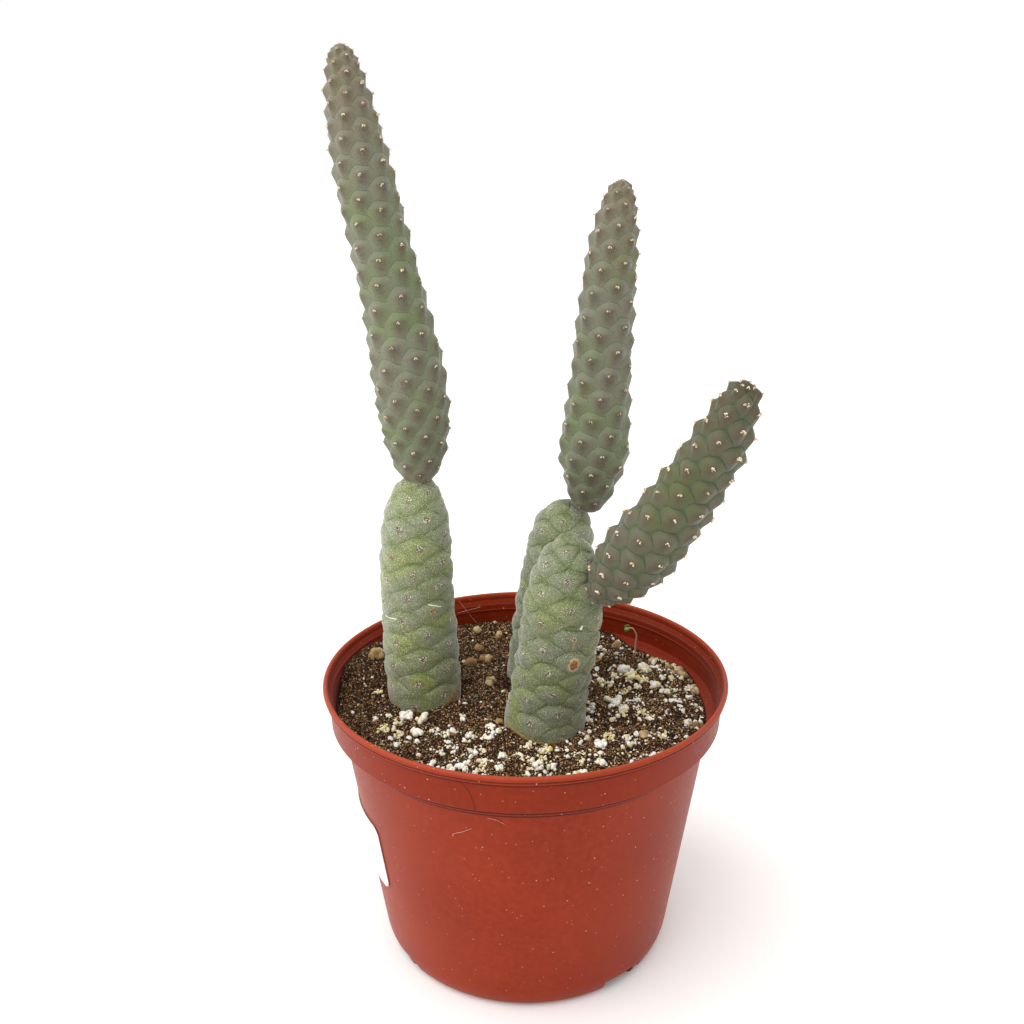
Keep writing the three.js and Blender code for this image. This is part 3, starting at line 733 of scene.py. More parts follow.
    @staticmethod
    def _cork(tree: MaterialWiring, colour: Feed, normal: Feed, segment: "Segment") -> tuple[Feed, Feed]:
        """Adds the corky brown foot where a stem stands in the soil, higher at its sides.

        Args:
            tree: The material's tree.
            colour: Colour so far.
            normal: Normal so far.
            segment: The segment, for how high the cork reaches.

        Returns:
            The new colour and normal.
        """
        if not segment.cork_height:
            return colour, normal
        middle = float(segment.centre(segment.soil / segment.length)[0])
        x, _, _ = tree.parts(tree.place)
        aside = tree.math("ABSOLUTE", tree.minus(tree.over(x, MM), middle))
        aside = tree.math("POWER", tree.over(aside, float(segment.radius(segment.soil))), 2.2)
        reach = tree.plus(segment.cork_height, tree.times(aside, segment.cork_sides))
        above = tree.over(tree.attribute("above"), MM)
        broad = tree.times(tree.minus(tree.drift(90.0, 1.0, 5.0), 0.5), 2.5)
        ragged = tree.times(tree.minus(tree.drift(500.0, 4.0, 5.0), 0.5), 2.2)
        edge = tree.minus(tree.plus(reach, tree.plus(broad, ragged)), above)
        share = tree.remap(edge, 0.0, 0.35)
        rim = tree.times(share, tree.remap(edge, 0.9, 0.2))
        flakes = tree.drift(1500.0, 3.0, 9.0)
        crust = tree.blend(tree.remap(flakes, 0.35, 0.65), paint(98, 64, 24), paint(172, 126, 54))
        crust = tree.blend(tree.times(rim, 0.6), crust, paint(196, 160, 98))
        return tree.blend(share, colour, crust), tree.bump(tree.times(flakes, share), 0.3 * MM, normal)


@dataclass(frozen=True)
class GlochidFinish:
    """Bristle tufts: pale straw to pinkish tan."""

    name: str
    pale: Colour
    dark: Colour
    split: tuple[float, float] = (0.55, 1.2)

    def build(self, effects: Effects) -> Material:
        """Makes the material, each grain with its own tone."""
        tree = MaterialWiring(self.name, effects)
        tone = tree.attribute("tone")
        streak = tree.drift(2600.0, 2.0)
        share = tree.remap(tree.plus(tone, tree.times(streak, 0.5)), *self.split)
        colour = tree.blend(share, self.pale, self.dark)
        return tree.done(colour, 0.6, tree.bump(streak, 0.05 * MM), Sheen_Weight=0.2)


@dataclass(frozen=True)
class PotFinish:
    """Thin matte injection-moulded plastic in terracotta red, with dust, lint and flow lines, painted shade
    in the grooves and on the collar, and a painted highlight along the lip.
    """

    colour: Colour = paint(139, 42, 11)
    deep: Colour = paint(130, 37, 9)
    # Colour of wear and scuffs, and of the painted highlight along the lip.
    worn: Colour = paint(192, 86, 56)
    # Colour of the painted shade lines and of the moulding's flow line.
    groove: Colour = paint(76, 18, 6)
    dust: Colour = paint(232, 200, 184)
    # Height of the painted highlight along the lip.
    rim_height: float = 109.0
    # Colour of the painted shade on the collar.
    collar: Colour = paint(120, 32, 7)
    # Height, width and strength of painted shade lines at the steps and grooves, outside and inside.
    outer_grooves: tuple[Corner, ...] = (
        (91.0, 0.65, 0.85), (93.6, 0.55, 0.95), (105.5, 0.5, 0.7), (107.7, 0.35, 0.6)
    )
    inner_grooves: tuple[Corner, ...] = ((102.9, 0.5, 0.6), (105.2, 0.4, 0.5), (99.6, 0.3, 0.35))
    inner_radius: float = 72.85
    flow: tuple[Point, ...] = ((-23.2, -70.1, 106.7), (-19.2, -71.2, 102.4), (-17.2, -71.7, 95.5))

    def build(self, effects: Effects) -> Material:
        """Makes the material."""
        tree = MaterialWiring("terracotta_plastic_moulded", effects)
        cloud = tree.drift(28.0, 4.0)
        mottle = tree.drift(420.0, 3.0, 2.0)
        colour = tree.blend(tree.remap(cloud, 0.35, 0.7), self.colour, self.deep)
        colour = tree.blend(tree.remap(mottle, 0.3, 0.8, (0.0, 0.14)), colour, self.worn)
        z = tree.over(tree.parts(tree.place)[2], MM)
        # Painted highlight along the top of the lip.
        rim = tree.remap(z, self.rim_height - 0.8, self.rim_height + 0.8)
        colour = tree.blend(tree.times(rim, 0.4), colour, self.worn)
        # Painted shade: the collar band made darker than the wall.
        collar = tree.times(tree.remap(z, 95.0, 95.6), tree.remap(z, 106.9, 106.3))
        colour = tree.blend(tree.times(collar, 0.4), colour, self.collar)
        radius = tree.vector("LENGTH", tree.vector("MULTIPLY", tree.place, (1.0, 1.0, 0.0)))
        inside = tree.times(
            tree.math("LESS_THAN", radius, self.inner_radius * MM), tree.math("GREATER_THAN", z, 97.0)
        )
        outside = tree.minus(1.0, inside)
        # Painted shade along the steps and grooves of the rim, collar and inner wall.
        for side, shade_lines in ((outside, self.outer_grooves), (inside, self.inner_grooves)):
            for height, width, strength in shade_lines:
                apart = tree.math("ABSOLUTE", tree.minus(z, height))
                share = tree.times(tree.remap(apart, width, width * 0.4, (0.0, strength)), side)
                colour = tree.blend(share, colour, self.groove)
        specks = tree.effect(effects.speckle, Spacing=4.2 * MM, Size=0.05, Share=0.7)
        motes = tree.effect(effects.speckle, Spacing=2.4 * MM, Size=0.085, Share=0.4)
        dust = tree.math("MAXIMUM", specks["Mask"], tree.times(motes["Mask"], 0.45))
        colour = tree.blend(tree.times(dust, 0.75), colour, self.dust)
        scuffs = tree.noise(tree.vector("MULTIPLY", tree.place, (1.0, 1.0, 0.16)), 900.0, 3.0, 4.0)
        colour = tree.blend(tree.remap(scuffs, 0.66, 0.8, (0.0, 0.22)), colour, self.worn)
        for start, end in zip(self.flow, self.flow[1:]):
            ends = {
                "Start": tuple(np.multiply(start, MM)), "End": tuple(np.multiply(end, MM)),
                "Face": (-0.27, -0.96, 0.0),
            }
            line = tree.effect(effects.stroke, Width=0.3 * MM, Waver=0.4 * MM, **ends)
            colour = tree.blend(tree.times(line["Mask"], 0.65), colour, self.groove)
        grain = tree.drift(3200.0, 2.0, 6.0)
        normal = tree.bump(grain, 0.035 * MM)
        rough = tree.remap(mottle, 0.25, 0.75, (0.40, 0.52))
        return tree.done(
            colour, rough, normal, Specular_IOR_Level=0.12, Sheen_Weight=0.08, Sheen_Roughness=0.35
        )


@dataclass(frozen=True)
class GrainFinish:
    """Loose grains whose tone runs through a row of colours, from grain to grain."""

    name: str
    colours: tuple[Colour, ...]
    # Colour of darker patches across the grains and of the painted shade in their pits.
    shade: Colour
    pit_spacing: float
    pit_depth: float
    roughness: float

    def build(self, effects: Effects) -> Material:
        """Makes the material."""
        tree = MaterialWiring(self.name, effects)
        tone = tree.attribute("tone")
        ramp = tree.add("ShaderNodeValToRGB", {"Fac": tone})
        ramp.color_ramp.interpolation = "CONSTANT"
        stops = ramp.color_ramp.elements
        for number, colour in enumerate(self.colours):
            place = number / len(self.colours)
            stop = stops[number] if number < len(stops) else stops.new(place)
            stop.position = place
            stop.color = colour
        patchy = tree.drift(900.0, 3.0)
        colour = tree.blend(tree.remap(patchy, 0.4, 0.75, (0.0, 0.45)), ramp.outputs["Color"], self.shade)
        # Painted shade in small pits of each grain.
        pits = tree.effect(effects.speckle, Spacing=self.pit_spacing * MM, Size=0.3, Share=0.4)
        colour = tree.blend(tree.times(pits["Mask"], 0.35), colour, self.shade)
        hollow = tree.minus(1.0, pits["Mask"])
        normal = tree.bump(hollow, self.pit_depth * MM, tree.bump(patchy, 0.2 * MM))
        return tree.done(colour, self.roughness, normal, Specular_IOR_Level=0.2)


@dataclass(frozen=True)
class SoilFinish:
    """Moist peat and bark mix under the loose grains."""

    # Colour of the painted shade in the gaps between the granules.
    gap: Colour = paint(16, 10, 6)
    brown: Colour = paint(80, 50, 32)
    tan: Colour = paint(176, 134, 88)

    def build(self, effects: Effects) -> Material:
        """Makes the material: round granules of brown and tan with painted shade in the gaps between them,
        and small tan dots that are partly grains and partly painted highlights.
        """
        tree = MaterialWiring("peat_and_bark_mix", effects)
        granules = tree.effect(effects.speckle, Spacing=0.78 * MM, Size=0.46, Share=1.0)
        fine = tree.effect(effects.speckle, Spacing=0.45 * MM, Size=0.34, Share=0.6)
        cloud = tree.drift(90.0, 4.0)
        tone = tree.plus(granules["Tone"], tree.minus(cloud, 0.5))
        colour = tree.blend(tree.remap(tone, 0.45, 0.95), self.brown, self.tan)
        # Painted shade: each granule darkens to near black toward its edge.
        colour = tree.blend(granules["Mask"], self.gap, colour)
        # Small tan dots: tan grains, with painted highlights on the granules.
        colour = tree.blend(tree.times(fine["Mask"], 0.35), colour, self.tan)
        normal = tree.bump(fine["Height"], 0.15 * MM, tree.bump(granules["Height"], 0.5 * MM))
        return tree.done(colour, 0.9, normal, Specular_IOR_Level=0.2)


@dataclass(frozen=True)
class PaperFinish:
    """Blank white sticker paper with faint fibres and a soft sheen."""

    white: Colour = paint(246, 246, 244)
    grey: Colour = paint(224, 223, 220)

    def build(self, effects: Effects) -> Material:
        """Makes the material."""
        tree = MaterialWiring("blank_sticker_paper", effects)
        fibre = tree.noise(tree.vector("MULTIPLY", tree.place, (1.0, 1.0, 3.0)), 1200.0, 4.0)
        cloud = tree.drift(120.0, 2.0, 4.0)
        share = tree.times(tree.remap(fibre, 0.3, 0.8), tree.remap(cloud, 0.2, 0.8, (0.25, 0.7)))
        colour = tree.blend(share, self.white, self.grey)
        return tree.done(colour, tree.remap(fibre, 0.2, 0.8, (0.42, 0.6)), tree.bump(fibre, 0.02 * MM))


@dataclass(frozen=True)
class LeafFinish:
    """Tender seedling: a pale stem and a green leaf with a lighter vein."""

    stem: Colour = paint(196, 160, 132)
    leaf: Colour = paint(96, 128, 44)
    vein: Colour = paint(158, 178, 92)

    def build(self, effects: Effects) -> Material:
        """Makes the material."""
        tree = MaterialWiring("seedling_tissue", effects)
        green = tree.attribute("leaf")
        vein = tree.attribute("vein")
        mottle = tree.drift(900.0, 3.0)
        blade = tree.blend(tree.remap(mottle, 0.3, 0.7, (0.0, 0.4)), self.leaf, self.vein)
        blade = tree.blend(tree.times(vein, 0.8), blade, self.vein)
        colour = tree.blend(green, self.stem, blade)
        return tree.done(colour, 0.5, tree.bump(mottle, 0.08 * MM), Sheen_Weight=0.1)


@dataclass(frozen=True)
class LintFinish:
    """Fine pale hairs of dust and cobweb."""

    pale: Colour = paint(236, 214, 200)
    grey: Colour = paint(206, 180, 164)

    def build(self, effects: Effects) -> Material:
        """Makes the material."""
        tree = MaterialWiring("pale_lint", effects)
        change = tree.drift(700.0, 2.0)
        return tree.done(
            tree.blend(tree.remap(change, 0.3, 0.7), self.pale, self.grey), 0.7, tree.bump(change, 0.02 * MM)
        )


def mesh_object(name: str, points: np.ndarray, faces: Iterable[Sequence[int]]) -> Object:
    """Object with a mesh from points in millimetres, its place in its vertices.

    Args:
        name: Name of the piece.
        points: Vertex places, one row each.
        faces: Vertex numbers of each face, turned outward.

    Returns:
        The new object, linked into the scene.
    """
    mesh = bpy.data.meshes.new(name)
    mesh.from_pydata((np.asarray(points, float) * MM).tolist(), [], [list(map(int, face)) for face in faces])
    mesh.shade_smooth()
    piece = bpy.data.objects.new(name, mesh)
    bpy.context.scene.collection.objects.link(piece)
    return piece


def keep_numbers(piece: Object, name: str, values: np.ndarray, domain: str = "POINT") -> None:
    """Keeps a number or a vector for each vertex, or each corner of a face, under a name."""
    flat = np.asarray(values, np.float32)
    kind, key = ("FLOAT_VECTOR", "vector") if flat.ndim == 2 else ("FLOAT", "value")
    attribute = piece.data.attributes.new(name, kind, domain)
    attribute.data.foreach_set(key, np.ascontiguousarray(flat).ravel())


def settle(piece: Object, slot: Slot | None, *nodes: str) -> None:
    """Fixes a finished piece to the frame and reports it.

    Args:
        piece: The finished piece.
        slot: Material slot of the record that it is finished in, if it has one; not used.
        nodes: CAD nodes that it stands for.
    """
    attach(piece, "root")
    if nodes:
        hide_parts(*nodes)
    triangles = sum(len(face.vertices) - 2 for face in piece.data.polygons)
    LOG.info("%s: %d triangles, stands for %s", piece.name, triangles, ", ".join(nodes) or "nothing else")


def rounded(corners: Sequence[Corner], steps: int = 4) -> np.ndarray:
    """Profile whose corners are eased.

    Args:
        corners: Radius, height and easing length of each corner, in order.
        steps: Pieces of each eased corner.

    Returns:
        Radius and height of each point of the eased profile.
    """
    out: list[np.ndarray] = []
    for number, (radius, height, ease) in enumerate(corners):
        here = np.array([radius, height])
        if ease <= 0 or number in (0, len(corners) - 1):
            out.append(here)
            continue
        arms = []
        for other in (corners[number - 1], corners[number + 1]):
            arm = np.array(other[:2]) - here
            length = float(np.linalg.norm(arm))
            arms.append(arm / length * min(ease, length * 0.45))
        for t in np.linspace(0, 1, steps + 1):
            out.append(here + arms[0] * (1 - t) ** 2 + arms[1] * t**2)
    return np.array(out)


def lathe(profile: np.ndarray, sides: int) -> tuple[np.ndarray, list[list[int]]]:
    """Turned body whose profile starts and ends on the Z axis.

    Args:
        profile: Radius and height of each point, so that the body lies at its left.
        sides: Sides round the axis.

    Returns:
        Points and faces.
    """
    angles = np.arange(sides) * math.tau / sides
    inner = profile[1:-1]
    rings = np.stack(
        [
            inner[:, :1] * np.sin(angles), -inner[:, :1] * np.cos(angles),
            np.repeat(inner[:, 1:], sides, axis=1),
        ],
        axis=-1,
    ).reshape(-1, 3)
    points = np.vstack([rings, [[0, 0, profile[0][1]]], [[0, 0, profile[-1][1]]]])
    faces: list[list[int]] = []
    count = len(inner)
    for k in range(sides):
        n = (k + 1) % sides
        for ring in range(count - 1):
            low, high = ring * sides, (ring + 1) * sides
            faces.append([low + k, low + n, high + n, high + k])
        faces.append([len(rings), n, k])
        last = (count - 1) * sides
        faces.append([len(rings) + 1, last + k, last + n])
    return points, faces


def tube(path: np.ndarray, radii: np.ndarray, sides: int) -> tuple[np.ndarray, list[list[int]]]:
    """Closed tube along a path, tapering with the radii.

    Args:
        path: Points along its middle.
        radii: Radius at each point.
        sides: Sides round the path.

    Returns:
        Points and faces.
    """
    along = np.gradient(path, axis=0)
    along /= np.linalg.norm(along, axis=1)[:, None]
    side = np.cross(along[0], (0.0, 0.0, 1.0) if abs(along[0][2]) < 0.9 else (1.0, 0.0, 0.0))
    rings = []
    for here, ahead, radius in zip(path, along, radii):
        side = side - ahead * (side @ ahead)
        side /= np.linalg.norm(side)
        other = np.cross(ahead, side)
        turn = np.arange(sides) * math.tau / sides
        rings.append(here + radius * (np.outer(np.cos(turn), side) + np.outer(np.sin(turn), other)))
    points = np.vstack([*rings, path[:1], path[-1:]])
    faces: list[list[int]] = []
    last = (len(path) - 1) * sides
    for k in range(sides):
        n = (k + 1) % sides
        faces += [
            [r * sides + k, r * sides + n, (r + 1) * sides + n, (r + 1) * sides + k]
            for r in range(len(path) - 1)
        ]
        faces.append([last + sides, n, k])
        faces.append([last + sides + 1, last + k, last + n])
    return points, faces


def smooth_path(points: Sequence[Point], steps: int) -> np.ndarray:
    """Curve through points, with equal steps between each two of them."""
    given = np.array(points, float)
    padded = np.vstack([2 * given[0] - given[1], given, 2 * given[-1] - given[-2]])
    out = []
    for i in range(1, len(padded) - 2):
        a, b, c, d = padded[i - 1 : i + 3]
        for t in np.arange(steps) / steps:
            out.append(
                0.5 * (
                    2 * b + (c - a) * t + (2 * a - 5 * b + 4 * c - d) * t**2 + (3 * b - a - 3 * c + d) * t**3
                ),
            )
    out.append(given[-1])
    return np.array(out)


def join_bodies(bodies: Sequence[tuple[np.ndarray, list[list[int]]]]) -> tuple[np.ndarray, list[list[int]]]:
    """Several bodies as one set of points and faces."""
    points: list[np.ndarray] = []
    faces: list[list[int]] = []
    for body_points, body_faces in bodies:
        start = sum(len(part) for part in points)
        points.append(body_points)
        faces += [[start + v for v in face] for face in body_faces]
    return np.vstack(points), faces


@dataclass(frozen=True)
class Relief:
    """Form of the tubercles on a segment.

    The reach of a tubercle is given in shares of the spacing between two of them, and its
    height in shares of the segment's relief. The wrinkles are in millimetres.
    """

    above: float
    below: float
    aside: float
    power: float
    corner: float
    wobble: float
    nipple: float
    nipple_size: float
    pit: float
    crease: float
    crease_width: float
    crease_patches: float
    wrinkle: float
    wrinkle_spacing: float
    wrinkle_flat: float

    def form(self) -> dict[str, float]:
        """Reach and form of a dome, by the names that the trees use."""
        sizes = titled(self)
        return {name: sizes[name] for name in FORM}


class ReliefTree(GeometryTree):
    """Raises a tubercle round each areole of a smooth stem.

    Every vertex knows its place in the lattice of areoles and the two steps of that lattice.
    """

    def __init__(self) -> None:
        """Builds the tree."""
        numbers = [
            "Depth", *FORM, "Nipple", "Nipple Size", "Pit", "Crease", "Crease Width", "Wrinkle",
            "Wrinkle Scale", "Wrinkle Flat", "Shift",
        ]
        super().__init__("tubercle relief", dict.fromkeys(numbers, "Float"))
        sizes = self.inputs
        position = self.position()
        ways = [self.attribute(name, "FLOAT_VECTOR") for name in ("lattice", "steep_way", "flat_way")]
        best, second, offset, _, either = self.domes(sizes, position, *ways)
        across, rise, _ = self.parts(offset)
        gap = self.minus(best, second)
        line = self.math("EXPONENT", self.over(gap, self.times(sizes["Crease Width"], -1.0)))
        line = self.times(line, either)
        pit_size = self.times(sizes["Nipple Size"], 0.4)
        nipple = self.bell(across, rise, sizes["Nipple Size"], sizes["Nipple Size"])
        pit = self.bell(across, rise, pit_size, pit_size)
        height = self.plus(best, self.times(nipple, sizes["Nipple"]))
        height = self.minus(height, self.times(pit, sizes["Pit"]))
        height = self.minus(height, self.times(line, sizes["Crease"]))
        top = self.plus(1.0, self.times(sizes["Nipple"], 0.6))
        lift = self.times(self.minus(height, top), sizes["Depth"])
        lift = self.times(lift, self.attribute("share"))
        lift = self.plus(lift, self._wrinkles(sizes, position))
        outward = self.scaled(self.attribute("outward", "FLOAT_VECTOR"), lift)
        self.finish(self.moved(sizes["Geometry"], outward))

    def _wrinkles(self, sizes: bpy_prop_collection, position: Feed) -> NodeSocket:
        """Wrinkles of the skin that run round the stem."""
        stretch = self.add("ShaderNodeCombineXYZ", {0: 1.0, 1: 1.0, 2: sizes["Wrinkle Flat"]}).outputs[0]
        place = self.vector("MULTIPLY", position, stretch)
        noise = self.noise(place, sizes["Wrinkle Scale"], 3.0, sizes["Shift"])
        lift = self.times(self.minus(noise, 0.5), sizes["Wrinkle"])
        return self.times(lift, self.plus(self.times(self.attribute("share"), 0.7), 0.3))


@dataclass
class Segment:
    """One stem segment: a spindle wound round with tubercles, in millimetres.

    Attributes:
        name: The CAD node's name.
        age: Old and stretched, or young.
        axis: Four points at equal steps from base to tip.
        radii: Fractions of the length and the radius over the tubercles.
        rise: Climb from one tubercle to the next, at equal steps along the length.
        turn: Turn from one tubercle to the next, at equal steps along the length.
        first: Height along the axis and angle of one tubercle near the base.
        hand: +1 where the steep rows of tubercles lean right, else -1.
        relief: Depth of the furrows.
        soil: Length that stands in the soil.
        shade: Brightness of its skin, painted: its whole skin made lighter or darker, standing in for light
            and shade.
        skin: Its finish, where that is not the usual one of its age.
        tuft_size: Size of its tufts, 1 being usual.
        cork_height: Usual height of the cork above the soil.
        cork_sides: Further height of the cork at the stem's left and right.
        marks: Corky scars.
        scratches: Pale scratches.
    """

    name: str
    age: Age
    axis: Sequence[Point]
    radii: Sequence[tuple[float, float]]
    rise: Sequence[float]
    turn: Sequence[float]
    first: tuple[float, float]
    hand: int
    relief: float
    soil: float = 0.0
    shade: float = 1.0
    skin: SkinFinish | None = None
    tuft_size: float = 1.0
    cork_height: float = 0.0
    cork_sides: float = 0.0
    marks: Sequence[Mark] = ()
    scratches: Sequence[Scratch] = ()
    steep_step: int = 8
    flat_step: int = 5
    steep_turns: int = 3
    flat_turns: int = 2
    tip_length: float = 12.0
    tip_crowding: float = 0.35
    joint_length: float = 6.0
    joint_crowding: float = 0.4
    full_relief_radius: float = 5.5
    length: float = field(init=False, default=0.0)

    def __post_init__(self) -> None:
        """Measures the axis and winds the tubercles round it."""
        middle = self.centre(np.linspace(0, 1, 33))
        self.length = float(np.linalg.norm(np.diff(middle, axis=0), axis=1).sum())
        self.heights, self.angles = self._wind()

    def centre(self, f: np.ndarray) -> np.ndarray:
        """Points on the axis at fractions of its length: the cubic through the four points."""
        x = np.asarray(f, float) * 3
        weights = [
            -((x - 1) * (x - 2) * (x - 3)) / 6, (x * (x - 2) * (x - 3)) / 2, -(x * (x - 1) * (x - 3)) / 2,
            (x * (x - 1) * (x - 2)) / 6,
        ]
        return np.stack(weights, axis=-1) @ np.array(self.axis, float)

    def radius(self, s: np.ndarray) -> np.ndarray:
        """Radius over the tubercles at distances along the axis, never overshooting its pairs."""
        at, size = np.array(self.radii, float).T
        chord = np.diff(size) / np.diff(at)
        before, after = chord[:-1], chord[1:]
        total = np.where(before + after == 0, 1.0, before + after)
        middle = np.where(before * after <= 0, 0.0, 2 * before * after / total)
        slope = np.concatenate([chord[:1], middle, chord[-1:]])
        x = np.clip(np.asarray(s, float) / self.length, at[0], at[-1])
        i = np.clip(np.searchsorted(at, x, side="left") - 1, 0, len(at) - 2)
        width = at[i + 1] - at[i]
        t = (x - at[i]) / width
        low = (1 - t) ** 2 * (size[i] * (1 + 2 * t) + width * slope[i] * t)
        return low + t**2 * (size[i + 1] * (3 - 2 * t) + width * slope[i + 1] * (t - 1))

    def directions(self, s: np.ndarray, angle: np.ndarray) -> tuple[np.ndarray, np.ndarray]:
        """Directions along the axis and outward from it.

        Args:
            s: Distances along the axis.
            angle: Angles round it.

        Returns:
            Unit vectors along the axis and away from it, one row each.
        """
        f = np.asarray(s, float) / self.length
        along = self.centre(f + AXIS_STEP) - self.centre(f - AXIS_STEP)
        along /= np.linalg.norm(along, axis=-1, keepdims=True)
        front = np.array([0.0, -1.0, 0.0]) - along * -along[..., 1:2]
        front /= np.linalg.norm(front, axis=-1, keepdims=True)
        side = np.cross(along, front)
        turned = np.radians(np.asarray(angle, float))[..., None]
        return along, front * np.cos(turned) + side * np.sin(turned)

    def point(self, s: np.ndarray, angle: np.ndarray, lift: float = 0.0) -> np.ndarray:
        """Places on the smooth stem, lifted off it."""
        out = self.directions(s, angle)[1]
        return self.centre(np.asarray(s, float) / self.length) + out * (self.radius(s) + lift)[..., None]

    def _crowding(self, s: float) -> float:
        """Share of the usual spacing that the tubercles keep at a distance along the axis."""
        tip = self.length - self.tip_length
        if s > tip:
            return max(self.tip_crowding, float(self.radius(s) / self.radius(tip)))
        if self.soil or s > self.joint_length:
            return 1.0
        return max(self.joint_crowding, float(self.radius(s) / self.radius(self.joint_length)))

    def _step(self, s: float) -> tuple[float, float]:
        """Climb and turn to the next tubercle."""
        steps = np.linspace(0, 1, len(self.rise))
        turns = np.linspace(0, 1, len(self.turn))
        f = s / self.length
        return float(np.interp(f, steps, self.rise)) * self._crowding(s), float(
            np.interp(f, turns, self.turn)
        )

    def _wind(self) -> tuple[np.ndarray, np.ndarray]:
        """Heights and running angles of the tubercles on the spiral that joins them all."""
        beyond = 8.0
        heights, angles = [self.first[0]], [self.first[1]]
        while heights[0] > -beyond:
            rise, turn = self._step(heights[0])
            heights.insert(0, heights[0] - rise)
            angles.insert(0, angles[0] - turn)
        while heights[-1] < self.length + beyond:
            rise, turn = self._step(heights[-1])
            heights.append(heights[-1] + rise)
            angles.append(angles[-1] + turn)
        return np.array(heights), np.array(angles)

    def place(self, number: np.ndarray, steep: np.ndarray, flat: np.ndarray) -> tuple[np.ndarray, np.ndarray]:
        """Height and angle of places in the lattice.

        Args:
            number: Number of the tubercle.
            steep: Fraction of a step along the steep rows.
            flat: Fraction of a step along the flat rows.

        Returns:
            Distances along the axis and angles round it.
        """
        x = number + self.steep_step * steep - self.flat_step * flat
        i = np.clip(np.floor(x).astype(int), 0, len(self.heights) - 2)
        s = self.heights[i] + (self.heights[i + 1] - self.heights[i]) * (x - i)
        wound = self.angles[i] + (self.angles[i + 1] - self.angles[i]) * (x - i)
        return s, wound + self.hand * 360 * (self.flat_turns * flat - self.steep_turns * steep)

    def steps(self, number: np.ndarray, steep: np.ndarray, flat: np.ndarray) -> tuple[np.ndarray, np.ndarray]:
        """The lattice's two steps at places in it, laid flat: round the stem and along it.

        Args:
            number: Number of the tubercle.
            steep: Fraction of a step along the steep rows.
            flat: Fraction of a step along the flat rows.

        Returns:
            The steep and the flat step, in shares of the spacing of the tubercles.
        """
        half = 0.5
        size = self.radius(self.place(number, steep, flat)[0])
        ways = []
        for up, over in ((half, 0.0), (0.0, half)):
            s_end, angle_end = self.place(number, steep + up, flat + over)
            s_start, angle_start = self.place(number, steep - up, flat - over)
            round_it = np.radians(angle_end - angle_start) * np.maximum(size, 1.0)
            ways.append(np.stack([round_it, s_end - s_start], axis=1))
        steep_way, flat_way = ways
        area = np.abs(steep_way[:, 0] * flat_way[:, 1] - steep_way[:, 1] * flat_way[:, 0])
        spacing = np.sqrt(np.maximum(area, 1.0) * 2 / math.sqrt(3))[:, None]
        flat_zero = np.zeros((len(number), 1))
        return np.hstack([steep_way / spacing, flat_zero]), np.hstack([flat_way / spacing, flat_zero])

    def share(self, s: np.ndarray) -> np.ndarray:
        """Share of the full relief: none in the soil, less where the stem is thin."""
        above = smoothstep(
            self.soil + 1, self.soil + 7, s
        ) if self.soil else 0.25 + 0.75 * smoothstep(0.0, 0.12, s / self.length)
        return above * np.clip(self.radius(s) / self.full_relief_radius, 0, 1)


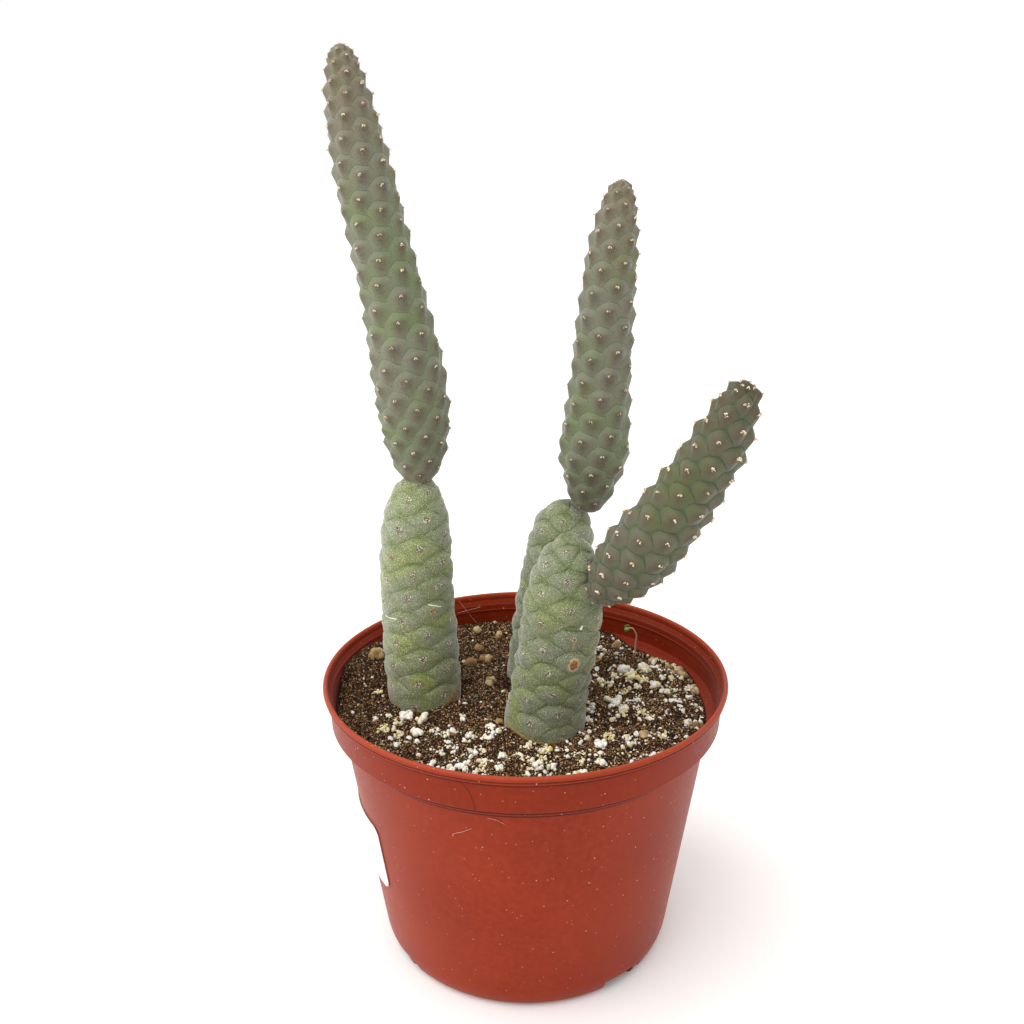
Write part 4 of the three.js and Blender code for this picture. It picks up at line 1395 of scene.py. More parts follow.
@dataclass
class StemSkin:
    """Fine skin of a segment: a mesh laid along the rows of its tubercles."""

    segment: Segment
    steps: int
    base_ring: float = 0.6
    tip_margin: float = 1.4
    below_soil: float = 3.0
    ring_gap: float = 0.4
    foot_ring: float = 0.8
    closing_spot: Point = (0.25, 0.0, 0.0)

    def build(self, tree: ReliefTree, relief: Relief, finish: Material) -> Object:
        """Makes the skin.

        Args:
            tree: Tree that raises the tubercles.
            relief: Form of the tubercles.
            finish: Material of the skin.

        Returns:
            The skin as a plain mesh.
        """
        points, faces, numbers, spots = self._surface()
        piece = mesh_object(f"{self.segment.name}_skin", points, faces)
        for name, values in numbers.items():
            keep_numbers(piece, name, values)
        others = sum(len(face) for face in faces) - len(spots)
        keep_numbers(
            piece, "lattice_at", np.vstack([spots, np.tile(self.closing_spot, (others, 1))]), "CORNER"
        )
        tree.bake(
            piece,
            {
                **titled(relief), "Depth": self.segment.relief * MM, "Wrinkle": relief.wrinkle * MM,
                "Wrinkle Scale": 1 / (relief.wrinkle_spacing * MM), "Shift": self.segment.first[1],
                "Finish": finish,
            },
        )
        return piece

    def _surface(self) -> tuple[np.ndarray, list[list[int]], dict[str, np.ndarray], np.ndarray]:
        """Points, faces, vertex numbers and the lattice places of the first faces' corners."""
        seg, k = self.segment, self.steps
        count = len(seg.heights)
        number, i, j = (
            part.ravel() for part in np.meshgrid(np.arange(count), np.arange(k), np.arange(k), indexing="ij")
        )
        steep, flat = i / k - 0.5, j / k - 0.5
        s, angle = seg.place(number, steep, flat)
        base = seg.soil - self.below_soil if seg.soil else self.base_ring
        inside = (s > base + self.ring_gap) & (s < seg.length - self.tip_margin)

        def corner(right: int, up: int) -> np.ndarray:
            """Vertex at a corner of each small quad, or -1 outside the stem."""
            ii, jj = i + right, j + up
            owner = number + seg.steep_step * (ii == k) - seg.flat_step * (jj == k)
            vertex = owner * k * k + (ii % k) * k + jj % k
            known = (owner >= 0) & (owner < count)
            return np.where(known & inside[np.where(known, vertex, 0)], vertex, -1)

        moves = ((0, 0), (0, 1), (1, 1), (1, 0))[:: seg.hand]
        quads = np.stack([corner(*move) for move in moves], axis=1)
        kept = (quads >= 0).all(axis=1)
        quads = quads[kept]
        spots = [
            np.stack([steep[kept] + right / k, flat[kept] + up / k, 0 * flat[kept]], axis=1)
            for right, up in moves
        ]
        spots = np.stack(spots, axis=1).reshape(-1, 3)
        used, quads = np.unique(quads, return_inverse=True)
        quads = quads.reshape(-1, 4)
        columns = [s[used], angle[used], steep[used], flat[used], number[used].astype(float)]
        middle = (i[used] == k // 2) & (j[used] == k // 2)
        return *self._close(quads, columns, middle.astype(float), base), spots

    def _close(
        self, quads: np.ndarray, columns: list[np.ndarray], middle: np.ndarray, base: float
    ) -> tuple[np.ndarray, list[list[int]], dict[str, np.ndarray]]:
        """Closes the ragged ends of the lattice with rings and a pole at each end.

        Args:
            quads: Faces on the lattice.
            columns: Height, angle, two lattice fractions and number of each vertex.
            middle: 1 at the vertices under the areoles.
            base: Height of the ring below the lattice.

        Returns:
            Points, faces and vertex numbers.
        """
        seg = self.segment
        rows = np.stack(columns, axis=1).tolist()
        lifts = [0.0] * len(rows)
        faces = quads.tolist()
        edges = {(a, b) for face in faces for a, b in zip(face, face[1:] + face[:1])}
        following = {a: b for a, b in edges if (b, a) not in edges}

        def strip(ring: list[int], height: float) -> list[int]:
            """Joins a ring of vertices to a level ring at another height."""
            start = len(rows)
            for v in ring:
                rows.append([height, *rows[v][1:]])
                lifts.append(0.0)
            level = list(range(start, start + len(ring)))
            for n, a in enumerate(ring):
                m = (n + 1) % len(ring)
                faces.append([ring[m], a, level[n], level[m]])
            return level

        while following:
            loop = [next(iter(following))]
            while following[loop[-1]] != loop[0]:
                loop.append(following[loop[-1]])
            for v in loop:
                del following[v]
            at_base = rows[loop[0]][0] < seg.length / 2
            if at_base:
                loop = strip(loop, base)
                if seg.soil:
                    loop = strip(strip(loop, base / 2), self.foot_ring)
            rows.append([0.0 if at_base else seg.length, *rows[loop[0]][1:]])
            lifts.append(-1.0)
            pole = len(rows) - 1
            faces += [[loop[(n + 1) % len(loop)], a, pole] for n, a in enumerate(loop)]
        s, angle, steep, flat, number = np.array(rows).T
        out = seg.directions(s, angle)[1]
        on_axis = np.array(lifts) < 0
        reach = np.where(on_axis, 0.0, seg.radius(s))
        points = seg.centre(s / seg.length) + out * reach[:, None]
        share = np.where(on_axis, 0.0, seg.share(s))
        extra = np.zeros(len(s) - len(middle))
        steep_way, flat_way = seg.steps(number, steep, flat)
        numbers = {
            "lattice": np.stack([steep, flat, number], axis=1), "steep_way": steep_way, "flat_way": flat_way,
            "outward": out, "share": share, "climb": s / seg.length, "above": (s - seg.soil) * MM,
            "areole": np.concatenate([middle, extra]), "along": s,
        }
        return points, faces, numbers


class GrainTree(GeometryTree):
    """Sets lumpy grains on points, or scatters them over a surface first."""

    SHAPES = 4
    CLUMP_SCALE = 95.0
    CLUMP_EDGES = (0.46, 0.6)
    CLUMP_SHARES = (0.15, 1.8)

    def __init__(self, name: str, scattered: bool, smooth: bool) -> None:
        """Builds the tree.

        Args:
            name: Name of the tree.
            scattered: True to scatter the points over the surface's faces.
            smooth: True for smooth shading of the grains.
        """
        sizes = {
            "Copies": "Int", "Spread": "Vector", "Smallest": "Float", "Largest": "Float", "Stretch": "Vector",
            "Tilt": "Float", "Sink": "Float", "Lumps": "Float", "Lump Scale": "Float", "Detail": "Int",
            "Density": "Float", "Clumping": "Float", "Arc": "Float", "Seed": "Int",
        }
        super().__init__(name, sizes)
        given, seed = self.inputs, self.inputs["Seed"]
        if scattered:
            here = self.position()
            clumps = self.remap(
                self.noise(here, self.CLUMP_SCALE, 2.0, 4.0), *self.CLUMP_EDGES, self.CLUMP_SHARES
            )
            clumps = self.mix(given["Clumping"], 1.0, clumps)
            density = self.times(given["Density"], self.times(self.attribute("grains"), clumps))
            spread = self.add(
                "GeometryNodeDistributePointsOnFaces",
                {"Mesh": given["Geometry"], "Density": density, "Seed": seed}, distribute_method="RANDOM",
            )
            points, normal = spread.outputs["Points"], spread.outputs["Normal"]
            base_size: Feed = 1.0
        else:
            copies = self.add(
                "GeometryNodeDuplicateElements", {"Geometry": given["Geometry"], "Amount": given["Copies"]},
                domain="POINT",
            )
            points, normal = copies.outputs[0], self.attribute("normal", "FLOAT_VECTOR")
            up = self.attribute("up", "FLOAT_VECTOR")
            side = self.vector("NORMALIZE", self.vector("CROSS_PRODUCT", up, normal))
            base_size = self.attribute("size")
            x, y, z = self.parts(self.random((-1.0, -1.0, -1.0), (1.0, 1.0, 1.0), seed, 1, "FLOAT_VECTOR"))
            turn_share = self.random(-0.35, math.pi + 0.35, seed, 8)
            out_share = self.random(0.75, 1.1, seed, 9)
            x = self.mix(given["Arc"], x, self.times(self.math("COSINE", turn_share), out_share))
            y = self.mix(given["Arc"], y, self.times(self.math("SINE", turn_share), out_share))
            width, rise, lift = self.parts(given["Spread"])
            offset = self.scaled(side, self.times(x, width))
            offset = self.vector("ADD", offset, self.scaled(up, self.times(y, rise)))
            offset = self.vector("ADD", offset, self.scaled(normal, self.times(z, lift)))
            offset = self.scaled(offset, base_size)
            points = self.moved(points, offset)
        size = self.random(given["Smallest"], given["Largest"], seed, 2)
        size = self.times(size, base_size)
        sunk = self.scaled(normal, self.times(self.times(size, given["Sink"]), -1.0))
        points = self.moved(points, sunk)
        upright = self.add("FunctionNodeAlignRotationToVector", {"Vector": normal}, axis="Z").outputs[0]
        tilt = self.scaled(self.random((-1.0,) * 3, (1.0,) * 3, seed, 3, "FLOAT_VECTOR"), given["Tilt"])
        spin = self.add("ShaderNodeCombineXYZ", {2: self.random(0.0, math.tau, seed, 4)}).outputs[0]
        turn = self.add("FunctionNodeEulerToRotation", {0: self.vector("ADD", tilt, spin)}).outputs[0]
        rotation = self.add(
            "FunctionNodeRotateRotation", {0: upright, 1: turn}, rotation_space="LOCAL"
        ).outputs[0]
        uneven = self.random((0.75,) * 3, (1.25,) * 3, seed, 5, "FLOAT_VECTOR")
        scale = self.scaled(self.vector("MULTIPLY", uneven, given["Stretch"]), size)
        placed = self.add(
            "GeometryNodeInstanceOnPoints",
            {
                "Points": points, "Instance": self._shapes(), "Pick Instance": True,
                "Instance Index": self.random(0, self.SHAPES - 1, seed, 6, "INT"), "Rotation": rotation,
                "Scale": scale,
            },
        ).outputs[0]
        placed = self.store(placed, "tone", self.random(0.0, 1.0, seed, 7), "INSTANCE")
        self.finish(placed, smooth)

    def _shapes(self) -> NodeSocket:
        """A few lumpy balls of radius one, as instances to pick from."""
        join = self.add("GeometryNodeJoinGeometry")
        for number in range(self.SHAPES):
            ball = self.add(
                "GeometryNodeMeshIcoSphere", {"Radius": 1.0, "Subdivisions": self.inputs["Detail"]}
            ).outputs[0]
            position = self.position()
            lump = self.noise(position, self.inputs["Lump Scale"], 2.0, 13.7 * number)
            lift = self.times(self.minus(lump, 0.5), self.inputs["Lumps"])
            bumped = self.moved(ball, self.scaled(position, lift))
            grain = self.add("GeometryNodeGeometryToInstance", {0: bumped}).outputs[0]
            self.tree.links.new(grain, join.inputs[0])
        return join.outputs[0]


@dataclass(frozen=True)
class Grains:
    """Sizes of one sort of grain, in millimetres."""

    smallest: float
    largest: float
    stretch: Point = (1.0, 1.0, 0.8)
    tilt: float = 0.5
    sink: float = 0.2
    lumps: float = 0.8
    lump_scale: float = 1.4
    detail: int = 2
    copies: int = 1
    spread: Point = (0.0, 0.0, 0.0)
    per_square_cm: float = 0.0
    clumping: float = 0.0
    arc: float = 0.0
    seed: int = 1

    def values(self, finish: Material) -> dict[str, object]:
        """Values of the grain tree's named inputs, in metres."""
        lengths = {"Smallest": self.smallest * MM, "Largest": self.largest * MM}
        spread = tuple(part * MM for part in self.spread)
        density = self.per_square_cm * CM2_PER_M2
        return {**titled(self), **lengths, "Spread": spread, "Density": density, "Finish": finish}


def bare_points(
    name: str, places: np.ndarray, normals: np.ndarray, ups: np.ndarray, sizes: np.ndarray
) -> Object:
    """Object with loose points for grains to be set on.

    Args:
        name: Name of the piece that the grains will make.
        places: Places in millimetres.
        normals: Outward directions.
        ups: Directions toward the tip of the stem, or any other along the surface.
        sizes: Size of each place's grains, 1 being usual.

    Returns:
        The object.
    """
    piece = mesh_object(name, places, [])
    keep_numbers(piece, "normal", normals)
    keep_numbers(piece, "up", ups)
    keep_numbers(piece, "size", sizes)
    return piece


@dataclass
class Tufts:
    """Glochid tufts on a segment's areoles: felt grains and, near the tip, short bristles."""

    felt: Grains
    bristles: Grains
    bristled_from: float
    crown: int = 7
    crown_drop: float = 0.7
    crown_inset: float = 0.5
    soil_margin: float = 1.5
    smallest_scar: float = 1.0
    scar_margin: float = 0.8

    def build(self, skin: Object, segment: Segment, tree: GrainTree, finish: Material) -> list[Object]:
        """Sets the tufts on the finished skin.

        Args:
            skin: The segment's finished skin.
            segment: The segment.
            tree: Tree that sets grains on points.
            finish: Material of the tufts.

        Returns:
            The felt and the bristles.
        """
        mesh = skin.data
        places = read_numbers(mesh.vertices, "co", 3) / MM
        normals = read_numbers(mesh.vertex_normals, "vector", 3)
        middle, along = (read_numbers(mesh.attributes[name].data, "value") for name in ("areole", "along"))
        pick = (middle > 0.5) & (along > segment.soil + self.soil_margin)
        for mark in segment.marks:
            if mark.radius > self.smallest_scar:
                pick &= np.linalg.norm(
                    places - segment.point(mark.height, mark.angle), axis=1
                ) > mark.radius + self.scar_margin
        places = places[pick]
        normals = normals[pick]
        along = along[pick]
        ups = segment.directions(along, np.zeros(len(along)))[0]
        ups -= normals * (ups * normals).sum(axis=1)[:, None]
        ups /= np.linalg.norm(ups, axis=1)[:, None]
        if segment.age is Age.YOUNG:
            crown_along = np.full(self.crown, segment.length - self.crown_drop)
            around = np.arange(self.crown) * 360 / self.crown
            tip_along, outward = segment.directions(crown_along, around)
            lean = tip_along * 0.8 + outward * 0.6
            spots = segment.centre(crown_along / segment.length) + outward * (
                segment.radius(crown_along) - self.crown_inset
            )[:, None]
            places = np.vstack([places, spots])
            normals = np.vstack([normals, lean])
            ups = np.vstack([ups, tip_along * 0.6 - outward * 0.8])
            along = np.concatenate([along, crown_along])
        near = along / segment.length
        sizes = 0.85 + 0.3 * np.modf(np.arange(len(along)) * EVEN_SPREAD)[0]
        sizes *= np.clip(segment.radius(along) / 7, 0.6, 1) * segment.tuft_size
        sizes *= 0.6 + 0.4 * smoothstep(0.0, 0.1, near)
        felt = bare_points(f"{segment.name}_tufts", places, normals, ups, sizes)
        tree.bake(felt, self.felt.values(finish))
        tall = near > self.bristled_from
        spines = bare_points(f"{segment.name}_bristles", places[tall], normals[tall], ups[tall], sizes[tall])
        tree.bake(spines, self.bristles.values(finish))
        return [felt, spines]


YOUNG_SKIN = SkinFinish(
    ground=paint(126, 124, 106), fresh=paint(116, 128, 88), hollow=paint(116, 128, 96),
    line=paint(66, 72, 52), blush=paint(86, 70, 56), grain=paint(172, 176, 152), foot=paint(98, 102, 74),
    head=paint(132, 112, 92), foot_strength=0.65, head_strength=0.65, patch_spacing=18,
    patch_share=(0.44, 0.64), grain_spacing=0.5, grain_size=0.3, grain_strength=0.26, gap_strength=0.12,
    grain_depth=0.04, blush_strength=0.95, felt_strength=0.0, hollow_strength=0.6, hollow_reach=(0.7, 0.1),
    line_strength=0.75, line_width=0.16, rim_strength=0.3, roughness=0.6, sheen=0.25,
)
# A darker copy of the young skin: painted shade for the right upper segment.
SHADED_SKIN = replace(
    YOUNG_SKIN, ground=paint(108, 106, 84), fresh=paint(98, 104, 58), hollow=paint(80, 96, 58),
    line=paint(44, 54, 32), blush=paint(86, 68, 56), grain=paint(146, 144, 124), foot=paint(104, 95, 80),
    head=paint(90, 78, 54), foot_strength=0.9, patch_spacing=26, hollow_strength=0.85,
    hollow_reach=(0.7, 0.2), line_strength=0.9, line_width=0.2, rim_strength=0.3, grain_strength=0.12,
    blush_strength=0.8,
)
OLD_SKIN = SkinFinish(
    ground=paint(152, 155, 128), fresh=paint(152, 160, 82), hollow=paint(116, 132, 60),
    line=paint(58, 72, 36), blush=paint(142, 138, 118), grain=paint(236, 238, 220), foot=paint(168, 168, 128),
    head=paint(166, 174, 138), foot_strength=0.65, head_strength=0.5, patch_spacing=16,
    patch_share=(0.44, 0.64), grain_spacing=0.46, grain_size=0.32, grain_strength=0.42, gap_strength=0.5,
    grain_depth=0.06, blush_strength=0.3, felt_strength=0.85, hollow_strength=0.85, hollow_reach=(0.8, 0.2),
    line_strength=0.7, line_width=0.24, rim_strength=0.35, roughness=0.75, sheen=0.7,
)
YOUNG_RELIEF = Relief(
    above=0.42, below=0.85, aside=0.75, power=1.7, corner=1.6, wobble=0.2, nipple=0.6, nipple_size=0.27,
    pit=0.1, crease=0.1, crease_width=0.12, crease_patches=0.5, wrinkle=0.3, wrinkle_spacing=4.0,
    wrinkle_flat=1.3,
)
OLD_RELIEF = Relief(
    above=0.36, below=0.6, aside=0.95, power=1.9, corner=1.7, wobble=0.3, nipple=0.08, nipple_size=0.18,
    pit=0.15, crease=0.45, crease_width=0.16, crease_patches=0.75, wrinkle=1.4, wrinkle_spacing=9.0,
    wrinkle_flat=3.0,
)


def plant_segments() -> list[Segment]:
    """The six stem segments, from the left plant to the right one."""
    return [
        Segment(
            name="left_lower_segment", marks=[Mark(58.2, 28, 1.25, 0.75, 0.7)],
            scratches=[Scratch((60.8, 22), (58.8, 43)), Scratch((54.0, 298), (55.0, 328))], shade=1.14,
            cork_height=-3.6, cork_sides=9.0, age=Age.OLD,
            axis=[(-38.2, 8.5, 78.1), (-39.7, 8.5, 114.2), (-40.5, 8.5, 150.5), (-38.6, 8.5, 186.6)],
            radii=[
                (0, 13.2), (0.165, 14.0), (0.25, 14.5), (0.36, 14.5), (0.5, 14.1), (0.65, 13.8), (0.75, 13.3),
                (0.84, 12.3), (0.895, 10.6), (0.94, 8.2), (0.97, 5.7), (1, 1.5),
            ],
            rise=[1.29, 1.29, 1.19, 1.13, 1.33, 1.27], turn=[136.18, 136.14, 136.35, 136.4, 136.45],
            first=(23.0, 36.3), hand=1, relief=0.9, soil=19.5,
        ),
        Segment(
            name="left_upper_segment", age=Age.YOUNG,
            axis=[(-38.7, 8.5, 182.5), (-42.2, 8.5, 232.8), (-51.7, 8.5, 282.4), (-59.2, 8.5, 332.05)],
            radii=[
                (0, 4.5), (0.043, 8.9), (0.103, 11.7), (0.175, 13.1), (0.25, 13.4), (0.42, 11.8),
                (0.55, 10.9), (0.7, 10.5), (0.8, 9.5), (0.9, 7.7), (0.96, 5.6), (0.985, 3.8), (1, 1.2),
            ],
            rise=[0.67, 0.78, 1.05, 0.98, 0.91, 0.73], turn=[137.82, 137.7, 136.57, 136.77, 136.38],
            first=(14.0, 359.4), hand=1, relief=1.15,
        ),
        Segment(
            name="back_lower_segment", shade=1.06, tuft_size=0.75, cork_height=-1.0, age=Age.OLD,
            axis=[(5.0, 24, 78), (7.6, 24, 108.7), (11.9, 24, 139.3), (17.6, 24, 170)],
            radii=[
                (0, 12.8), (0.2, 13.4), (0.4, 13.6), (0.6, 13.4), (0.75, 13.0), (0.85, 12.3), (0.92, 10.3),
                (0.96, 7.5), (1, 1.8),
            ],
            rise=[1.2, 1.2, 1.2, 1.2, 1.2, 1.1], turn=[-136.5, -136.5, -136.4, -136.4, -136.4],
            first=(24.0, 20), hand=-1, relief=1.1, soil=19.5,
        ),
        Segment(
            name="middle_upper_segment", shade=0.93, age=Age.YOUNG,
            axis=[(23.8, 20, 166.4), (27.4, 20, 207.0), (30.2, 20, 247.6), (34.8, 20, 288.0)],
            radii=[
                (0, 2.5), (0.02, 5.7), (0.07, 9.0), (0.13, 11.4), (0.166, 12.9), (0.22, 13.4), (0.29, 12.6),
                (0.42, 11.5), (0.54, 10.9), (0.66, 10.3), (0.8, 9.3), (0.88, 7.9), (0.94, 6.1), (0.97, 4.7),
                (0.987, 3.3), (1, 1.1),
            ],
            rise=[0.96, 0.93, 1.06, 1.12, 0.98, 0.87], turn=[136.88, 136.67, 136.57, 136.64, 136.64],
            first=(5.7, 17.3), hand=1, relief=1.15,
        ),
        Segment(
            name="front_lower_segment", marks=[Mark(48.8, 23, 1.9, 1.35), Mark(59.0, 16, 0.75)],
            scratches=[
                Scratch((62.6, 25.5), (63.6, 26.5), 0.55, 1.0, paint(250, 248, 240)),
                Scratch((57.6, 16.5), (54.4, 18.2), 0.3, 0.8, paint(202, 176, 132)),
                Scratch((62.2, 3.0), (61.8, 26.0), 0.4, 0.75, paint(58, 74, 38)),
            ],
            shade=0.9, tuft_size=0.8, cork_height=-1.4, cork_sides=2.0, age=Age.OLD,
            axis=[(5.6, -15.5, 78.4), (8.6, -15.5, 109.5), (13.3, -15.5, 140.3), (15.7, -15.5, 171.4)],
            radii=[
                (0, 13.9), (0.19, 15.0), (0.29, 14.8), (0.42, 14.3), (0.55, 14.6), (0.68, 14.9), (0.78, 13.8),
                (0.87, 12.0), (0.92, 9.6), (0.96, 6.2), (1, 1.4),
            ],
            rise=[1.16, 1.16, 0.93, 1.2, 1.34, 1.17], turn=[-136.59, -136.58, -136.44, -136.06, -136.03],
            first=(23.6, 334.4), hand=-1, relief=1.4, soil=19.5,
        ),
        Segment(
            name="right_upper_segment", shade=0.85, skin=SHADED_SKIN, tuft_size=1.35, age=Age.YOUNG,
            axis=[(22.7, -23.3, 148.3), (42.0, -31.0, 174.1), (57.7, -39.4, 201.9), (68.4, -48.4, 231.9)],
            radii=[
                (0, 1.5), (0.03, 4.9), (0.105, 9.5), (0.19, 12.2), (0.29, 12.9), (0.38, 12.5), (0.54, 11.4),
                (0.7, 10.3), (0.78, 9.8), (0.85, 8.6), (0.91, 7.6), (0.955, 6.2), (0.985, 4.4), (1, 1.4),
            ],
            rise=[0.89, 0.89, 1.07, 1.05, 1.11, 1.17], turn=[-136.71, -136.74, -136.94, -136.79, -136.81],
            first=(16.3, 321.1), hand=-1, relief=1.5,
        ),
    ]


@dataclass
class Plants:
    """The three cactus plants: six skins and their tufts."""

    effects: Effects
    segments: list[Segment] = field(default_factory=plant_segments)
    old_steps: int = 18
    young_steps: int = 17
    young_tufts: Tufts = field(
        default_factory=lambda: Tufts(
            felt=Grains(
                0.16, 0.3, (0.85, 0.85, 1.3), 0.5, -0.25, 0.4, 1.2, 1, 9, (0.62, 0.6, 0.08), arc=0.8, seed=11
            ),
            bristles=Grains(0.1, 0.13, (0.7, 0.7, 6.0), 0.7, -3.0, 0.2, 1.0, 1, 3, (0.45, 0.3, 0.0), seed=12),
            bristled_from=0.7,
        ),
    )
    old_tufts: Tufts = field(
        default_factory=lambda: Tufts(
            felt=Grains(0.12, 0.22, (1.0, 1.0, 1.0), 0.6, -0.3, 0.5, 1.2, 1, 14, (1.35, 0.9, 0.05), seed=21),
            bristles=Grains(0.07, 0.1, (0.8, 0.8, 4.0), 0.8, -1.8, 0.2, 1.0, 1, 1, (0.6, 0.4, 0.0), seed=22),
            bristled_from=0.3,
        ),
    )

    def build(self) -> None:
        """Makes and settles every piece of the plants."""
        relief_tree = ReliefTree()
        grain_tree = GrainTree("tuft grains", scattered=False, smooth=True)
        pale = GlochidFinish("straw_glochids", paint(236, 222, 188), paint(184, 152, 112)).build(self.effects)
        pink = GlochidFinish(
            "greyed_glochids", paint(240, 234, 216), paint(96, 72, 54), (0.6, 0.9)
        ).build(self.effects)
        for segment in self.segments:
            young = segment.age is Age.YOUNG
            look = segment.skin or (YOUNG_SKIN if young else OLD_SKIN)
            relief = YOUNG_RELIEF if young else OLD_RELIEF
            finish = look.build(f"{segment.name}_{segment.age.value}_skin", self.effects, segment, relief)
            slot = Slot.YOUNG_SKIN if young else Slot.OLD_SKIN
            steps = self.young_steps if young else self.old_steps
            skin = StemSkin(segment, steps).build(relief_tree, relief, finish)
            tufts = self.young_tufts if young else self.old_tufts
            for piece in tufts.build(skin, segment, grain_tree, pale if young else pink):
                settle(piece, None)
            settle(skin, slot, segment.name)


@dataclass
class Pot:
    """Thin plastic nursery pot with a collar, a rolled lip and four drain slots; millimetres."""

    effects: Effects
    sides: int = 192
    height: float = 110.0
    foot_radius: float = 50.5
    heel_radius: float = 56.0
    heel_height: float = 6.0
    shoulder_radius: float = 69.3
    collar_bottom: float = 95.2
    collar_radius: float = 73.7
    wall: float = 1.3
    floor: float = 1.4
    slot_angles: tuple[float, ...] = (-59, 41, 121, 221)
    slot_width: float = 19.0
    slot_height: float = 5.2
    slot_inner_radius: float = 49.8
    ledge_height: float = 94.8
    inner_collar_bottom: float = 96.2
    half_height: float = 50.0

    def wall_radius(self, z: float) -> float:
        """Outer radius of the wall below the collar."""
        slope = (self.shoulder_radius - self.heel_radius) / (self.collar_bottom - 1 - self.heel_height)
        return self.heel_radius + (z - self.heel_height) * slope

    def inner_radius(self, z: np.ndarray) -> np.ndarray:
        """Inner radius of the wall, up to the collar."""
        radii = (self.heel_radius, self.wall_radius(self.ledge_height), self.collar_radius - 0.2)
        return np.interp(
            z, (self.heel_height, self.ledge_height, self.inner_collar_bottom), radii
        ) - self.wall

    def profile(self) -> np.ndarray:
        """Section of the pot from the middle of its underside to the middle of its floor."""
        inner_collar = self.collar_radius - self.wall
        corners: list[Corner] = [
            (0, 0, 0), (30, 0, 0), (self.foot_radius, 0, 0.8), (self.foot_radius + 3.4, 1.2, 1.6),
            (self.heel_radius, self.heel_height, 3.0),
            (self.wall_radius(self.half_height), self.half_height, 0), (self.wall_radius(92.1), 92.1, 0.3),
            (71.2, 92.7, 0.3), (71.5, 94.6, 0.3), (73.35, 95.1, 0.4), (73.7, 106.2, 0.4), (75.1, 106.6, 0.4),
            (75.6, 107.2, 0.3), (75.3, 107.8, 0.3), (75.95, 108.4, 0.4), (75.85, 109.4, 0.5),
            (75.3, 109.95, 0.4), (74.5, 109.8, 0.4), (74.1, 109.1, 0.4), (73.8, 107.4, 0.4),
            (73.1, 105.9, 0.4), (inner_collar, 105.3, 0.4), (inner_collar - 0.05, 103.5, 0.2),
            (inner_collar - 0.35, 103.2, 0.2), (inner_collar - 0.35, 102.6, 0.2),
            (inner_collar - 0.1, 102.3, 0.2), (inner_collar - 0.2, self.inner_collar_bottom, 0.5),
            (self.wall_radius(self.ledge_height) - self.wall, self.ledge_height, 0.5),
            (self.wall_radius(self.half_height) - self.wall, self.half_height, 0),
            (self.heel_radius - self.wall, self.heel_height, 2.0), (self.foot_radius + 2.6, 2.6, 1.0),
            (self.foot_radius - 1.2, self.floor, 0.8), (30, self.floor, 0), (0, self.floor, 0),
        ]
        return rounded(corners)

    def build(self) -> None:
        """Makes and settles the pot."""
        points, faces = lathe(self.profile(), self.sides)
        piece = mesh_object("pot_shell", points, faces)
        cutter = self._slots()
        modifier = piece.modifiers.new("drain slots", "BOOLEAN")
        modifier.operation = "DIFFERENCE"
        modifier.solver = "EXACT"
        modifier.object = cutter
        keep_result(piece, modifier)
        bpy.data.objects.remove(cutter)
        made = piece.data
        made.materials.clear()
        made.materials.append(PotFinish().build(self.effects))
        made.shade_smooth()
        made.set_sharp_from_angle(angle=math.radians(42))
        settle(piece, Slot.POT, "pot")

    def _slots(self) -> Object:
        """The blocks that the drain slots leave, each with a small tooth at its side."""
        bodies = []
        reach = self.heel_radius + 4
        quads = [[0, 1, 3, 2], [4, 6, 7, 5], [0, 4, 5, 1], [2, 3, 7, 6], [0, 2, 6, 4], [1, 5, 7, 3]]
        half = self.slot_width / 2
        for angle in self.slot_angles:
            turned = math.radians(angle)
            out = np.array([math.sin(turned), -math.cos(turned), 0.0])
            side = np.array([math.cos(turned), math.sin(turned), 0.0])
            for start, end, top in (
                (-half, half - 5.0, self.slot_height), (half - 3.9, half, self.slot_height - 1.2)
            ):
                corners = [
                    out * radius + side * across + np.array([0.0, 0.0, z])
                    for radius in (self.slot_inner_radius, reach)
                    for across in (start, end)
                    for z in (-1.0, top)
                ]
                bodies.append((np.array(corners), quads))
        points, faces = join_bodies(bodies)
        return mesh_object("drain_slot_blocks", points, faces)


@dataclass
class BlankLabel:
    """Blank paper sticker bent round the pot's left side; millimetres and degrees."""

    pot: Pot
    effects: Effects
    from_angle: float = -96.0
    to_angle: float = -57.0
    bottom: float = 36.0
    top: float = 64.0
    corner: float = 4.0
    gap: float = 0.3
    thickness: float = 0.3
    columns: int = 72

    def build(self) -> None:
        """Makes and settles the sticker: columns of four corners, bent round the wall."""
        span = self.to_angle - self.from_angle
        width = math.radians(span) * self.pot.wall_radius((self.bottom + self.top) / 2)
        points = []
        for k in range(self.columns + 1):
            across = 0.5 - 0.5 * math.cos(k / self.columns * math.pi)
            in_corner = max(0.0, self.corner - min(across, 1 - across) * width)
            trim = self.corner - math.sqrt(max(0.0, self.corner**2 - in_corner**2))
            angle = math.radians(self.from_angle + span * across)
            low, high = self.bottom + trim, self.top - trim
            for z, lift in (
                (low, self.gap), (high, self.gap), (high, self.gap + self.thickness),
                (low, self.gap + self.thickness),
            ):
                radius = self.pot.wall_radius(z) + lift
                points.append([radius * math.sin(angle), -radius * math.cos(angle), z])
        faces = []
        for k in range(self.columns):
            for c in range(4):
                d = (c + 1) % 4
                faces.append([4 * k + c, 4 * k + d, 4 * k + 4 + d, 4 * k + 4 + c])
        last = 4 * self.columns
        faces += [[3, 2, 1, 0], [last, last + 1, last + 2, last + 3]]
        piece = mesh_object("blank_sticker", np.array(points), faces)
        piece.data.materials.append(PaperFinish().build(self.effects))
        piece.data.set_sharp_from_angle(angle=math.radians(30))
        settle(piece, Slot.LABEL, "label")


